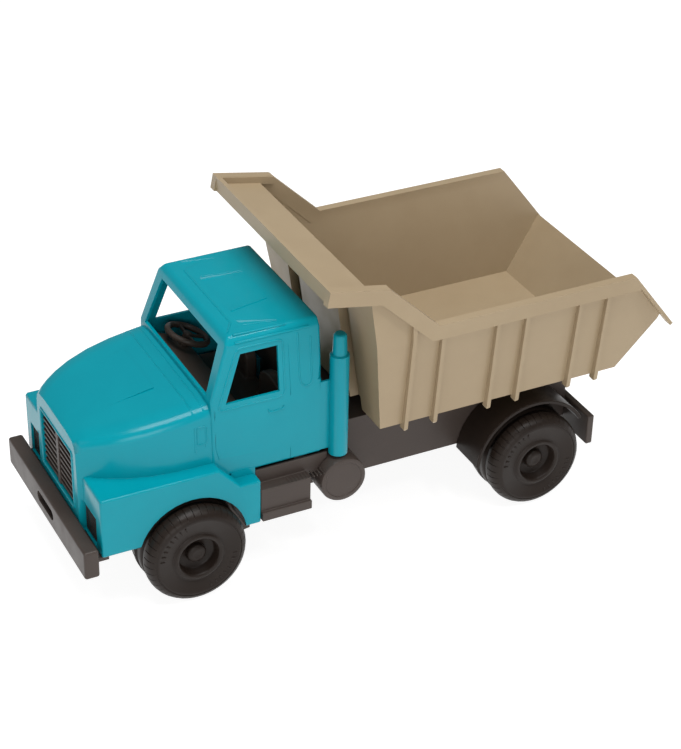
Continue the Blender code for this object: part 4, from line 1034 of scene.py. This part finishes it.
# %% Lights
def soft_light(name, place, aim, size, power, colour=(1.0, 1.0, 1.0)):
    data = bpy.data.lights.new(name, "AREA")
    data.shape = "RECTANGLE"
    data.size, data.size_y = size
    data.energy = power
    data.color = colour
    made = bpy.data.objects.new(name, data)
    bpy.context.scene.collection.objects.link(made)
    made.location = place
    made.rotation_euler = (Vector(aim) - Vector(place)).to_track_quat("-Z", "Y").to_euler()
    return made


soft_light("top_bank", (0.10, 0.25, 1.9), (0.0, 0.0, 0.1), (1.1, 1.1), 28.0)
soft_light("left_bank", (0.75, 2.1, 0.75), (0.0, 0.0, 0.1), (1.2, 0.9), 13.0)
soft_light("front_bank", (2.1, 0.3, 0.9), (0.0, 0.0, 0.1), (0.9, 0.9), 1.5)
soft_light("edge_strip", (-0.55, 0.95, 1.5), (0.1, 0.0, 0.15), (0.28, 0.20), 3.6)
world = bpy.data.worlds.new("studio air")
world.use_nodes = True
air = world.node_tree.nodes["Background"]
air.inputs["Color"].default_value = (1.0, 1.0, 1.0, 1.0)
air.inputs["Strength"].default_value = 0.22
backdrop = world.node_tree.nodes.new("ShaderNodeBackground")
seen = world.node_tree.nodes.new("ShaderNodeLightPath")
blend = world.node_tree.nodes.new("ShaderNodeMixShader")
links = world.node_tree.links
links.new(seen.outputs["Is Camera Ray"], blend.inputs[0])
links.new(air.outputs[0], blend.inputs[1])
links.new(backdrop.outputs[0], blend.inputs[2])
links.new(blend.outputs[0], world.node_tree.nodes["World Output"].inputs["Surface"])
backdrop.inputs["Color"].default_value = (1.0, 1.0, 1.0, 1.0)
backdrop.inputs["Strength"].default_value = 1.0
bpy.context.scene.world = world
bpy.context.scene.view_settings.view_transform = "Standard"

# %% Camera
CAMERA_PLACE = Vector((0.67233, 1.31131, 1.04145))
YAW, PITCH, ROLL = (math.radians(angle) for angle in (-117.318, -32.126, 1.287))


def camera_turn():
    level = math.cos(PITCH)
    ahead = Vector((level * math.cos(YAW), level * math.sin(YAW), math.sin(PITCH)))
    right = ahead.cross(Vector((0, 0, 1))).normalized()
    up = right.cross(ahead)
    rolled = math.cos(ROLL) * right + math.sin(ROLL) * up
    upright = -math.sin(ROLL) * right + math.cos(ROLL) * up
    return Matrix((rolled, upright, -ahead)).transposed()


camera_data = bpy.data.cameras.new("studio_camera")
camera_data.lens = 97.65
camera_data.sensor_width = 36.0
camera_data.sensor_fit = "AUTO"
camera_data.clip_start = 0.01
camera = bpy.data.objects.new("studio_camera", camera_data)
camera.matrix_world = Matrix.Translation(CAMERA_PLACE) @ camera_turn().to_4x4()
bpy.context.scene.collection.objects.link(camera)
bpy.context.scene.camera = camera

# %% Bring the scene up to date
bpy.context.view_layer.update()
